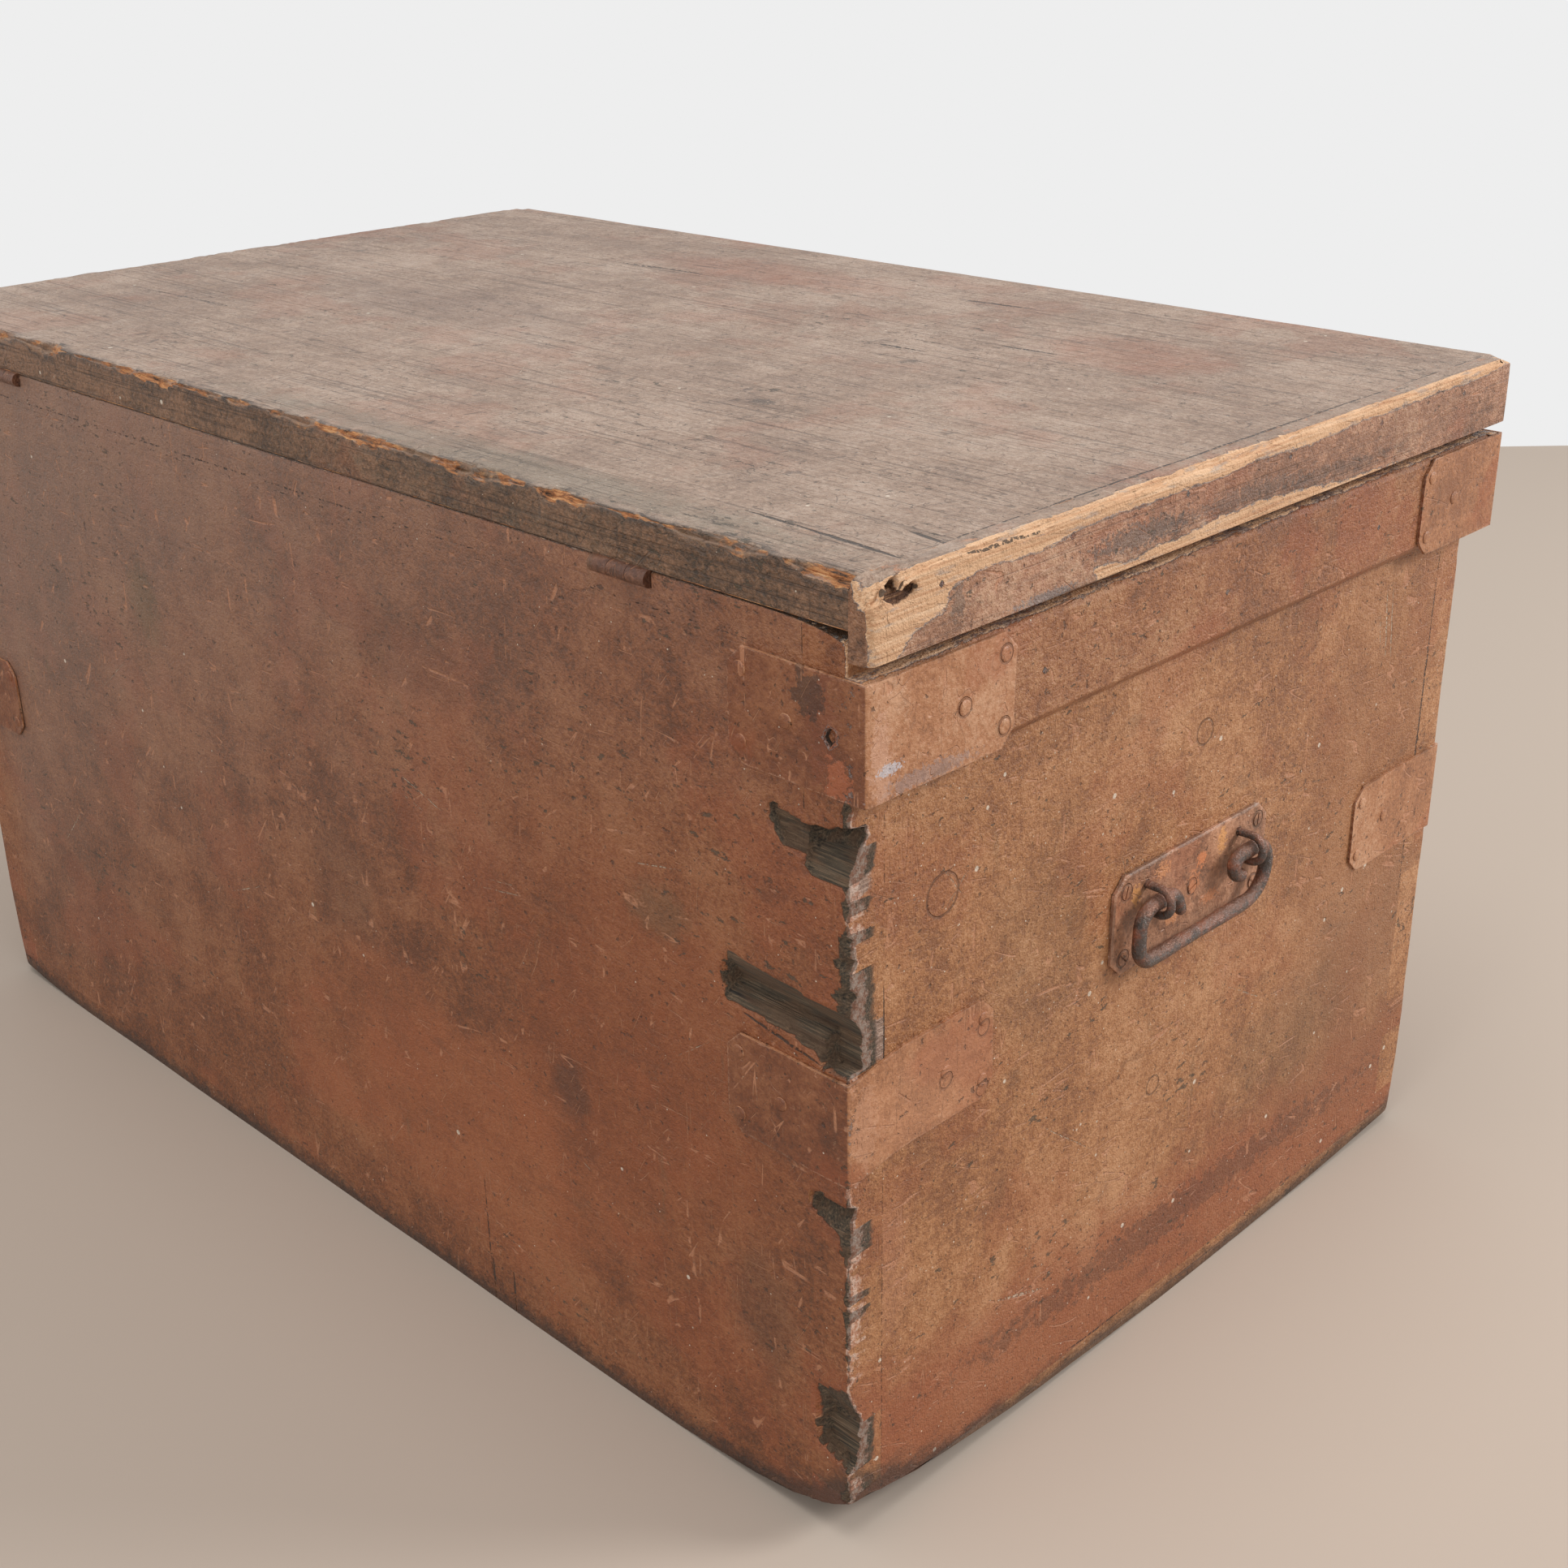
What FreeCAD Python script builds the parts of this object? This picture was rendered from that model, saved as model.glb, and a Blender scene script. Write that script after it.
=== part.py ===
import FreeCAD, Part
import math
import os
import Sketcher

# A pine blanket chest: a dovetailed carcass of two courses of boards on bottom planks, a skirt
# under the lid, bent iron straps on the corners, a lid with hanging rim strips on two butt hinges,
# and a drop handle on each end. X runs along the chest, the front is at minus Y, the hinged back
# at plus Y, and the underside of the planks is at Z zero.

# Driving sizes in millimetres and degrees; a name that ends in share is a share, in count a number.
SIZES = {
    # Carcass
    "body_length": 912,
    "body_width": 560,
    "overall_height": 536.5,
    "board_thick": 25,
    "end_thick": 26.5,
    "course_joint": 288,
    "tail_slope_share": 0.14,
    # Bottom planks, which run from front to back
    "plank_thick": 14,
    "first_plank": 278,
    "filler_plank": 20,
    "plank_gap": 0.6,
    # Skirt under the lid
    "skirt_drop": 21.5,
    "skirt_height": 58.5,
    "skirt_thick": 11,
    "skirt_bevel": 7,
    "skirt_round": 4,
    # Lid and its rim strips
    "lid_thick": 25,
    "lid_gap": 0.8,
    "lid_board_count": 3,
    "strip_thick": 12.3,
    "strip_height": 39.4,
    "strip_gap": 1,
    "strip_round": 6,
    # Corner straps: each arm is measured from the corner of the carcass
    "strap_thick": 1.6,
    "strap_height": 58,
    "strap_clip": 9,
    "upper_back_end_arm": 102,
    "upper_front_end_arm": 79,
    "upper_side_arm": 73,
    "middle_strap_base": 226.5,
    "middle_back_end_arm": 107,
    "middle_front_end_arm": 100,
    "middle_side_arm": 80,
    # Strap nails: two at the tip of an arm and one set back
    "nail_shank": 2.4,
    "nail_length": 22,
    "nail_head_radius": 4,
    "nail_head_height": 1,
    "nail_tip_inset": 8,
    "nail_set_back": 37,
    "nail_rise": 18,
    # Flush nails of the skirt, the rim strips and the planks
    "brad_shank": 2.6,
    "brad_length": 34,
    "plank_nail_length": 45,
    # Wooden plugs in the visible end: place from the back corner, height, radius
    "plug_depth": 12,
    "large_plug_radius": 11.5,
    "large_plug_reach": 67,
    "large_plug_rise": 360,
    "middle_plug_radius": 7.5,
    "middle_plug_reach": 286,
    "middle_plug_rise": 377,
    "small_plug_radius": 6,
    "small_plug_reach": 258,
    "small_plug_rise": 165,
    # Butt hinges
    "hinge_inset": 145,
    "hinge_length": 40,
    "hinge_notch_gap": 0.8,
    "knuckle_count": 3,
    "knuckle_gap": 0.3,
    "barrel_radius": 4.5,
    "pin_radius": 1.9,
    "pin_clearance": 0.15,
    "leaf_thick": 1.8,
    "leaf_reach": 22,
    "leaf_notch_gap": 0.4,
    "hinge_screw_spread": 22,
    "hinge_screw_head": 3.4,
    "hinge_screw_shank": 1.7,
    "hinge_screw_length": 16,
    # Drop handles
    "plate_length": 147,
    "plate_height": 60,
    "plate_thick": 2.5,
    "plate_clip": 9,
    "plate_chamfer": 0.8,
    "plate_centre_height": 285.8,
    "plate_screw_inset": 10,
    "plate_screw_head": 3.8,
    "plate_screw_shank": 2,
    "plate_screw_length": 20,
    "eye_spacing": 89,
    "eye_wire_radius": 2.8,
    "eye_standoff": 9,
    "eye_clearance": 0.45,
    "clench_bend": 4,
    "clench_length": 14,
    "pivot_height": 296.5,
    "bail_rod_radius": 4.75,
    "bail_span": 122.5,
    "bail_drop": 33,
    "bail_top_bend": 12,
    "bail_foot_bend": 14,
    "bail_stub_place": 18,
    "bail_hook_place": 35,
    "bail_hook_bend": 6,
    "bail_hook_angle": 130,
    "bail_hook_tip": 6,
}

# Dovetails: foot and head of each tail as shares of the height of its course of boards.
LOWER_TAIL_SHARES = ((0.055, 0.223), (0.321, 0.675), (0.745, 1))
UPPER_TAIL_SHARES = ((0, 0.243), (0.310, 0.526))

# Small round pieces are many-sided, and rods bend in short straight steps of this many degrees.
BAIL_SIDES = 8
WIRE_SIDES = 6
HEAD_SIDES = 8
SHANK_SIDES = 6
PIN_SIDES = 12
PLUG_SIDES = 16
BEND_STEP = 22.5

doc = FreeCAD.newDocument("blanket_chest")
sheet = doc.addObject("Spreadsheet::Sheet", "Sizes")
for row, (name, number) in enumerate(SIZES.items(), 1):
    sheet.set("A%d" % row, name)
    sheet.set("B%d" % row, str(number))
    sheet.setAlias("B%d" % row, name)
doc.recompute()


class Size:
    """A size with its value and the formula that keeps it tied to the driving sizes."""

    def __init__(self, text, value):
        self.text = text
        self.value = value

    def __add__(self, other):
        other = as_size(other)
        return Size("(%s + %s)" % (self.text, other.text), self.value + other.value)

    def __sub__(self, other):
        other = as_size(other)
        return Size("(%s - %s)" % (self.text, other.text), self.value - other.value)

    def __mul__(self, other):
        other = as_size(other)
        return Size("(%s * %s)" % (self.text, other.text), self.value * other.value)

    def __truediv__(self, other):
        other = as_size(other)
        return Size("(%s / %s)" % (self.text, other.text), self.value / other.value)

    def __neg__(self):
        return self * -1

    __radd__ = __add__
    __rmul__ = __mul__


def as_size(number):
    """A plain factor or zero becomes a Size, so that sums can mix the two."""
    if isinstance(number, Size):
        return number
    return Size("(%r)" % float(number), float(number))


class Sheet:
    """Gives each driving size by its name."""

    def __getattr__(self, name):
        return Size("Sizes." + name, float(SIZES[name]))


s = Sheet()
ZERO = as_size(0)

# Places that several pieces share, worked out from the driving sizes.
half_length = s.body_length / 2
half_width = s.body_width / 2
shoulder = half_length - s.end_thick
lid_under = s.overall_height - s.lid_thick
body_top = lid_under - s.lid_gap
skirt_top = lid_under - s.skirt_drop
skirt_base = skirt_top - s.skirt_height
panel_half = half_length + s.strip_gap
panel_front = -half_width - s.strip_gap
axis_height = lid_under - s.barrel_radius
notch_floor = axis_height - s.barrel_radius
eye_radius = s.bail_rod_radius + s.eye_clearance + s.eye_wire_radius
plate_face = half_length + s.plate_thick
pivot_reach = plate_face + s.eye_standoff
bail_half = s.bail_span / 2

pieces = {}
cuts_to_check = []


def keep(label, piece):
    """Names a finished piece; its label is also the name of its file."""
    piece.Label = label
    pieces[label] = piece
    return piece


def origin_plane(body, normal):
    role = {"x": "YZ_Plane", "y": "XZ_Plane", "z": "XY_Plane"}[normal]
    return next(item for item in body.Origin.OriginFeatures if item.Role == role)


def sketch_on(body, name, normal, place):
    """A sketch on the body's own plane, moved along that plane's normal axis to a place."""
    sketch = body.newObject("Sketcher::SketchObject", name)
    sketch.AttachmentSupport = (origin_plane(body, normal), [""])
    sketch.MapMode = "FlatFace"
    # The plane that faces Y looks along minus Y, so a place on it is measured backwards.
    toward = -place if normal == "y" else place
    sketch.setExpression("AttachmentOffset.Base.z", toward.text)
    return sketch


def hold(sketch, geometry, point, across, up):
    """Ties one point of a sketch to two sizes."""
    for kind, size in (("DistanceX", across), ("DistanceY", up)):
        index = sketch.addConstraint(Sketcher.Constraint(kind, -1, 1, geometry, point, size.value))
        sketch.setExpression("Constraints[%d]" % index, size.text)


def vector(across, up):
    return FreeCAD.Vector(across.value, up.value, 0)


def outline(sketch, corners):
    """A closed outline of straight lines through corners that are all held."""
    first = sketch.GeometryCount
    total = len(corners)
    for number in range(total):
        start, end = corners[number], corners[(number + 1) % total]
        sketch.addGeometry(Part.LineSegment(vector(*start), vector(*end)), False)
    for number, corner in enumerate(corners):
        following = first + (number + 1) % total
        sketch.addConstraint(Sketcher.Constraint("Coincident", first + number, 2, following, 1))
        hold(sketch, first + number, 1, *corner)


def circle(sketch, across, up, radius):
    index = sketch.addGeometry(
        Part.Circle(vector(across, up), FreeCAD.Vector(0, 0, 1), radius.value), False)
    hold(sketch, index, 3, across, up)
    bound = sketch.addConstraint(Sketcher.Constraint("Radius", index, radius.value))
    sketch.setExpression("Constraints[%d]" % bound, radius.text)


def many_sided(sketch, across, up, radius, sides):
    """A regular outline with a flat side at the top, the bottom, the left and the right."""
    corners = []
    for number in range(sides):
        angle = 2 * math.pi * (number + 0.5) / sides
        corners.append((across + radius * math.cos(angle), up + radius * math.sin(angle)))
    outline(sketch, corners)


def pad(body, sketch, normal, length):
    """Adds material from the sketch towards the plus side of its axis."""
    feature = body.newObject("PartDesign::Pad", sketch.Name + "_pad")
    feature.Profile = sketch
    feature.Reversed = normal == "y"
    feature.setExpression("Length", length.text)
    return feature


def pocket(body, sketch, normal, length):
    """Cuts from the sketch towards the plus side of its axis; the cut's volume is compared later."""
    feature = body.newObject("PartDesign::Pocket", sketch.Name + "_pocket")
    feature.Profile = sketch
    feature.Reversed = normal != "y"
    feature.setExpression("Length", length.text)
    cuts_to_check.append(feature)
    return feature


def edges_near(feature, spots):
    """Names of the edges whose middles lie nearest to the given spots."""
    names = []
    for spot in spots:
        target = FreeCAD.Vector(*[size.value for size in spot])
        distances = []
        for number, edge in enumerate(feature.Shape.Edges, 1):
            middle = edge.valueAt((edge.FirstParameter + edge.LastParameter) / 2)
            distances.append((middle.distanceToPoint(target), number))
        names.append("Edge%d" % min(distances)[1])
    return names


def dress(body, kind, feature, size, spots):
    """A fillet or chamfer on the edges nearest to the spots."""
    doc.recompute()
    dressed = body.newObject("PartDesign::" + kind, feature.Name + "_" + kind.lower())
    dressed.Base = (feature, edges_near(feature, spots))
    dressed.setExpression("Radius" if kind == "Fillet" else "Size", size.text)
    return dressed


def block(name, x_span, y_span, z_span):
    """A plain board, given the two ends of each span."""
    board = doc.addObject("Part::Box", name)
    for length, axis, span in (("Length", "x", x_span), ("Width", "y", y_span), ("Height", "z", z_span)):
        board.setExpression(length, (span[1] - span[0]).text)
        board.setExpression("Placement.Base." + axis, span[0].text)
    return board


def aim(piece, point, direction, start):
    """Turns a piece built up along Z to point in a direction, and sets it on its place."""
    way = FreeCAD.Vector(*direction)
    piece.Placement = FreeCAD.Placement(
        FreeCAD.Vector(0, 0, 0), FreeCAD.Rotation(FreeCAD.Vector(0, 0, 1), way))
    for axis, place, share in zip("xyz", point, direction):
        piece.setExpression("Placement.Base." + axis, (place + start * share).text)
    return piece


def prism(name, sides, radius, length):
    """An upright many-sided stick."""
    piece = doc.addObject("Part::Prism", name)
    piece.Polygon = sides
    piece.setExpression("Circumradius", radius.text)
    piece.setExpression("Height", length.text)
    return piece


def brad(point, direction, length):
    """A cut nail driven flush: a square shank alone."""
    shank = prism("brad", 4, s.brad_shank / math.sqrt(2), length)
    return aim(shank, point, direction, ZERO)


def rose_nail(point, direction):
    """A strap nail: a square shank and a hammered head that stands on the strap."""
    shank = prism("nail_shank", 4, s.nail_shank / math.sqrt(2), s.nail_length)
    head = prism("nail_head", HEAD_SIDES, s.nail_head_radius, s.nail_head_height)
    aim(shank, point, direction, ZERO)
    aim(head, point, direction, -s.nail_head_height)
    nail = doc.addObject("Part::Fuse", "strap_nail")
    nail.Base = head
    nail.Tool = shank
    return nail


def wood_screw(point, direction, head, shank, sunk, length):
    """A screw: a flat head let in flush, as deep as the iron that it holds, and a shank."""
    top = prism("screw_head", HEAD_SIDES, head, sunk)
    stem = prism("screw_shank", SHANK_SIDES, shank, length - sunk)
    aim(top, point, direction, ZERO)
    aim(stem, point, direction, sunk)
    screw = doc.addObject("Part::Fuse", "screw")
    screw.Base = top
    screw.Tool = stem
    return screw


def bundle(name, members):
    """Equal pieces together, each one still a solid of its own."""
    together = doc.addObject("Part::Compound", name)
    together.Links = members
    return together


def group(label, members):
    """Equal small pieces share one node."""
    return keep(label, bundle(label, members))


def bored(label, blank, fasteners):
    """Takes the fasteners' own shapes out of a blank, so that they sit tight in it."""
    cut = doc.addObject("Part::Cut", label)
    cut.Base = blank
    cut.Tool = bundle(label + "_holes", fasteners)
    return keep(label, cut)


class Path:
    """Draws straight runs and bends, end to end, in one sketch; every end is held by sizes."""

    def __init__(self, sketch, across, up, heading):
        self.sketch = sketch
        self.across = across
        self.up = up
        self.heading = heading

    def go_to(self, across, up):
        line = Part.LineSegment(vector(self.across, self.up), vector(across, up))
        index = self.sketch.addGeometry(line, False)
        if index:
            self.sketch.addConstraint(Sketcher.Constraint("Coincident", index - 1, 2, index, 1))
        else:
            hold(self.sketch, index, 1, self.across, self.up)
        hold(self.sketch, index, 2, across, up)
        self.across, self.up = across, up

    def run(self, length):
        angle = math.radians(self.heading)
        self.go_to(self.across + length * math.cos(angle), self.up + length * math.sin(angle))

    def bend(self, radius, turn):
        """Turns left by a positive angle and right by a negative one, in degrees."""
        steps = math.ceil(abs(turn) / BEND_STEP)
        outward = math.radians(self.heading - math.copysign(90, turn))
        centre_across = self.across - radius * math.cos(outward)
        centre_up = self.up - radius * math.sin(outward)
        for step in range(1, steps + 1):
            angle = outward + math.radians(turn) * step / steps
            self.go_to(centre_across + radius * math.cos(angle), centre_up + radius * math.sin(angle))
        self.heading += turn


def pipe(body, profile, spine):
    """A rod of one section all along a path, with mitred corners."""
    rod = body.newObject("PartDesign::AdditivePipe", spine.Name + "_pipe")
    rod.Profile = profile
    rod.Spine = (spine, ["Edge%d" % (number + 1) for number in range(spine.GeometryCount)])
    rod.Transition = "Right corner"
    return rod


# Carcass boards: the front and back boards carry the tails, the end boards the pins.

def tail_levels(base, top, shares):
    """Foot and head of each tail at its tip and at its narrower root."""
    flare = s.end_thick * s.tail_slope_share
    levels = []
    for foot_share, head_share in shares:
        foot = base + (top - base) * foot_share
        head = base + (top - base) * head_share
        root_foot = foot + flare if foot_share > 0 else foot
        root_head = head - flare if head_share < 1 else head
        levels.append((foot, head, root_foot, root_head))
    return levels


def tail_board(name, front_face, base, top, shares):
    body = doc.addObject("PartDesign::Body", name + "_blank")
    sketch = sketch_on(body, name + "_outline", "y", front_face)
    side = []
    for foot, head, root_foot, root_head in tail_levels(base, top, shares):
        side += [(shoulder, root_foot), (half_length, foot), (half_length, head), (shoulder, root_head)]
    # A half tail at the board's own edge has no root on that edge.
    if shares[0][0] > 0:
        side.insert(0, (shoulder, base))
    else:
        side.pop(0)
    if shares[-1][1] < 1:
        side.append((shoulder, top))
    else:
        side.pop()
    mirrored = [(-across, up) for across, up in reversed(side)]
    outline(sketch, side + mirrored)
    pad(body, sketch, "y", s.board_thick)
    return body


def pin_board(name, side, base, top, shares):
    """An end board; side is minus one at the left end and plus one at the right end."""
    body = doc.addObject("PartDesign::Body", name + "_blank")
    sketch = sketch_on(body, name + "_outline", "x", -half_length if side < 0 else shoulder)
    outline(sketch, [(-half_width, base), (half_width, base), (half_width, top), (-half_width, top)])
    pad(body, sketch, "x", s.end_thick)
    sockets = sketch_on(body, name + "_sockets", "y", half_width - s.board_thick)
    for foot, head, root_foot, root_head in tail_levels(base, top, shares):
        outline(sockets, [(shoulder * side, root_foot), (half_length * side, foot),
                          (half_length * side, head), (shoulder * side, root_head)])
    cut = pocket(body, sockets, "y", s.board_thick)
    doc.recompute()
    mirrored = body.newObject("PartDesign::Mirrored", name + "_front_sockets")
    mirrored.Originals = [cut]
    mirrored.MirrorPlane = (origin_plane(body, "y"), [""])
    body.Tip = mirrored
    return body


back_face = half_width - s.board_thick
blanks = {
    "back_lower_board": tail_board("back_lower_board", back_face, s.plank_thick,
                                   s.course_joint, LOWER_TAIL_SHARES),
    "back_upper_board": tail_board("back_upper_board", back_face, s.course_joint,
                                   body_top, UPPER_TAIL_SHARES),
    "front_lower_board": tail_board("front_lower_board", -half_width, s.plank_thick,
                                    s.course_joint, LOWER_TAIL_SHARES),
    "front_upper_board": tail_board("front_upper_board", -half_width, s.course_joint,
                                    body_top, UPPER_TAIL_SHARES),
    "left_end_lower_board": pin_board("left_end_lower_board", -1, s.plank_thick,
                                      s.course_joint, LOWER_TAIL_SHARES),
    "left_end_upper_board": pin_board("left_end_upper_board", -1, s.course_joint,
                                      body_top, UPPER_TAIL_SHARES),
    "right_end_lower_board": pin_board("right_end_lower_board", 1, s.plank_thick,
                                       s.course_joint, LOWER_TAIL_SHARES),
    "right_end_upper_board": pin_board("right_end_upper_board", 1, s.course_joint,
                                       body_top, UPPER_TAIL_SHARES),
}

# The back's top edge is notched for the two hinges.
hinge_places = {"left": -half_length + s.hinge_inset, "right": half_length - s.hinge_inset}
back = blanks["back_upper_board"]
notch_half = s.hinge_length / 2 + s.hinge_notch_gap
notch_front = half_width - s.leaf_reach - s.leaf_notch_gap
for side, centre in hinge_places.items():
    notch = sketch_on(back, side + "_hinge_notch", "z", notch_floor)
    outline(notch, [(centre - notch_half, notch_front), (centre + notch_half, notch_front),
                    (centre + notch_half, half_width), (centre - notch_half, half_width)])
    pocket(back, notch, "z", s.lid_thick)


# Bottom planks.

planks = []
plank_brads = []
nail_line = half_width - s.board_thick / 2
wide_plank = (s.body_length - s.first_plank - s.filler_plank) / 2
plank_start = -half_length
for width in (s.first_plank, s.filler_plank, wide_plank, wide_plank):
    near = plank_start + s.plank_gap if planks else plank_start
    plank_start = plank_start + width
    planks.append(block("plank", (near, plank_start), (-half_width, half_width), (ZERO, s.plank_thick)))
    # A wide plank takes two nails into each long wall, and the filler one.
    for share in ((0.5,) if width is s.filler_plank else (0.2, 0.8)):
        for side in (-1, 1):
            spot = (plank_start - width * share, nail_line * side, ZERO)
            plank_brads.append(brad(spot, (0, 0, 1), s.plank_nail_length))
end_nail_line = half_length - s.end_thick / 2
for side in (-1, 1):
    for share in (-0.5, 0.5):
        spot = (end_nail_line * side, nail_line * share, ZERO)
        plank_brads.append(brad(spot, (0, 0, 1), s.plank_nail_length))


# Skirt: the front band runs over the ends of the end bands.

def skirt_band(name, normal, start, length, face, outward):
    body = doc.addObject("PartDesign::Body", name + "_blank")
    sketch = sketch_on(body, name + "_profile", normal, start)
    outer = face + s.skirt_thick * outward
    bevelled = outer - s.skirt_bevel * outward
    outline(sketch, [(face, skirt_base), (bevelled, skirt_base), (outer, skirt_base + s.skirt_bevel),
                     (outer, skirt_top), (face, skirt_top)])
    band = pad(body, sketch, normal, length)
    middle = start + length / 2
    spot = (middle, outer, skirt_top) if normal == "x" else (outer, middle, skirt_top)
    dress(body, "Fillet", band, s.skirt_round, [spot])
    return body


skirt_half = half_length + s.skirt_thick
blanks["skirt_front"] = skirt_band("skirt_front", "x", -skirt_half, skirt_half * 2, -half_width, -1)
blanks["skirt_left"] = skirt_band("skirt_left", "y", -half_width, s.body_width, -half_length, -1)
blanks["skirt_right"] = skirt_band("skirt_right", "y", -half_width, s.body_width, half_length, 1)

skirt_middle = skirt_top - s.skirt_height / 2
skirt_brads = []
for share in (-0.55, 0, 0.55):
    front_spot = (half_length * share, -half_width - s.skirt_thick, skirt_middle)
    skirt_brads.append(brad(front_spot, (0, 1, 0), s.brad_length))
    for side in (-1, 1):
        end_spot = (skirt_half * side, half_width * share, skirt_middle)
        skirt_brads.append(brad(end_spot, (-side, 0, 0), s.brad_length))


# Corner straps, bent round the corners of the carcass or of the skirt, and their nails.
strap_nails = []


def corner_strap(name, end_side, long_side, end_face, side_face, base, end_arm, side_arm):
    """end_side and long_side are the signs of the corner; the faces are what the arms lie on."""
    body = doc.addObject("PartDesign::Body", name + "_blank")
    sketch = sketch_on(body, name + "_bend", "z", base)
    outer_x = (end_face + s.strap_thick) * end_side
    outer_y = (side_face + s.strap_thick) * long_side
    inner_x = end_face * end_side
    inner_y = side_face * long_side
    tip_x = (half_length - side_arm) * end_side
    tip_y = (half_width - end_arm) * long_side
    outline(sketch, [(outer_x, outer_y), (tip_x, outer_y), (tip_x, inner_y),
                     (inner_x, inner_y), (inner_x, tip_y), (outer_x, tip_y)])
    sheet_metal = pad(body, sketch, "z", s.strap_height)
    top = base + s.strap_height
    middle_x = (end_face + s.strap_thick / 2) * end_side
    middle_y = (side_face + s.strap_thick / 2) * long_side
    corners = [(tip_x, middle_y, base), (tip_x, middle_y, top),
               (middle_x, tip_y, base), (middle_x, tip_y, top)]
    clipped = dress(body, "Chamfer", sheet_metal, s.strap_clip, corners)
    dress(body, "Fillet", clipped, s.strap_thick, [(outer_x, outer_y, base + s.strap_height / 2)])
    level = base + s.strap_height / 2
    spots = [(s.nail_tip_inset, s.nail_rise), (s.nail_tip_inset, -s.nail_rise), (s.nail_set_back, ZERO)]
    for reach, rise in spots:
        on_end = (outer_x, tip_y + reach * long_side, level + rise)
        on_side = (tip_x + reach * end_side, outer_y, level + rise)
        strap_nails.append(rose_nail(on_end, (-end_side, 0, 0)))
        strap_nails.append(rose_nail(on_side, (0, -long_side, 0)))
    return body


for end_name, end_side in (("left", -1), ("right", 1)):
    for face_name, long_side in (("back", 1), ("front", -1)):
        side_face = half_width if long_side > 0 else half_width + s.skirt_thick
        upper_arm = s.upper_back_end_arm if long_side > 0 else s.upper_front_end_arm
        middle_arm = s.middle_back_end_arm if long_side > 0 else s.middle_front_end_arm
        corner = face_name + "_" + end_name
        blanks["upper_strap_" + corner] = corner_strap(
            "upper_strap_" + corner, end_side, long_side, skirt_half, side_face,
            skirt_base, upper_arm, s.upper_side_arm)
        blanks["middle_strap_" + corner] = corner_strap(
            "middle_strap_" + corner, end_side, long_side, half_length, half_width,
            s.middle_strap_base, middle_arm, s.middle_side_arm)


# Wooden plugs let into the left end.

def plug(radius, reach, rise):
    piece = prism("plug", PLUG_SIDES, radius, s.plug_depth)
    return aim(piece, (-half_length, half_width - reach, rise), (1, 0, 0), ZERO)


plugs = [
    plug(s.large_plug_radius, s.large_plug_reach, s.large_plug_rise),
    plug(s.middle_plug_radius, s.middle_plug_reach, s.middle_plug_rise),
    plug(s.small_plug_radius, s.small_plug_reach, s.small_plug_rise),
]


# Butt hinges: interleaved knuckles on a pin, each leaf running off its own side of the barrel.
hinge_axis = half_width
knuckle_pitch = s.hinge_length / s.knuckle_count


def hinge_leaf(name, centre, leaf_base, own_parity):
    """A leaf with every second knuckle; its plate is cut back at the other leaf's knuckles."""
    body = doc.addObject("PartDesign::Body", name + "_blank")
    start = centre - s.hinge_length / 2
    front = hinge_axis - s.leaf_reach
    relief = hinge_axis - s.barrel_radius - s.leaf_notch_gap
    back_line = []
    spans = []
    for number in range(SIZES["knuckle_count"]):
        own = number % 2 == own_parity
        gap = s.knuckle_gap / 2 if own else -s.knuckle_gap / 2
        low = start + knuckle_pitch * number
        high = low + knuckle_pitch
        if number > 0:
            low = low + gap
        if number < SIZES["knuckle_count"] - 1:
            high = high - gap
        depth = hinge_axis if own else relief
        back_line += [(low, depth), (high, depth)]
        if own:
            spans.append((low, high))
    sketch = sketch_on(body, name + "_plate", "z", leaf_base)
    outline(sketch, [(start, front)] + back_line + [(start + s.hinge_length, front)])
    pad(body, sketch, "z", s.leaf_thick)
    for number, (low, high) in enumerate(spans):
        barrel = sketch_on(body, "%s_knuckle_%d" % (name, number), "x", low)
        circle(barrel, hinge_axis, axis_height, s.barrel_radius)
        pad(body, barrel, "x", high - low)
    return body


body_leaves = []
lid_leaves = []
pins = []
pin_bores = []
body_screws = []
lid_screws = []
screw_line = half_width - s.board_thick / 2
for side, centre in hinge_places.items():
    body_leaves.append(hinge_leaf("hinge_body_leaf_" + side, centre, notch_floor, 0))
    lid_leaves.append(hinge_leaf("hinge_lid_leaf_" + side, centre, lid_under - s.leaf_thick, 1))
    pin_end = (centre - s.hinge_length / 2, hinge_axis, axis_height)
    pins.append(prism("hinge_pin", PIN_SIDES, s.pin_radius, s.hinge_length))
    pin_bores.append(prism("hinge_bore", PIN_SIDES, s.pin_radius + s.pin_clearance, s.hinge_length))
    aim(pins[-1], pin_end, (1, 0, 0), ZERO)
    aim(pin_bores[-1], pin_end, (1, 0, 0), ZERO)
    for way in (-1, 1):
        spot_x = centre + s.hinge_screw_spread * way / 2
        below = (spot_x, screw_line, notch_floor + s.leaf_thick)
        above = (spot_x, screw_line, lid_under - s.leaf_thick)
        for spot, up, screws in ((below, -1, body_screws), (above, 1, lid_screws)):
            screws.append(wood_screw(spot, (0, 0, up), s.hinge_screw_head, s.hinge_screw_shank,
                                     s.leaf_thick, s.hinge_screw_length))


# Drop handles. Each is drawn at the left end; the right one is the same handle turned half round.
HALF_TURN = FreeCAD.Placement(FreeCAD.Vector(0, 0, 0), FreeCAD.Rotation(FreeCAD.Vector(0, 0, 1), 180))


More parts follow.
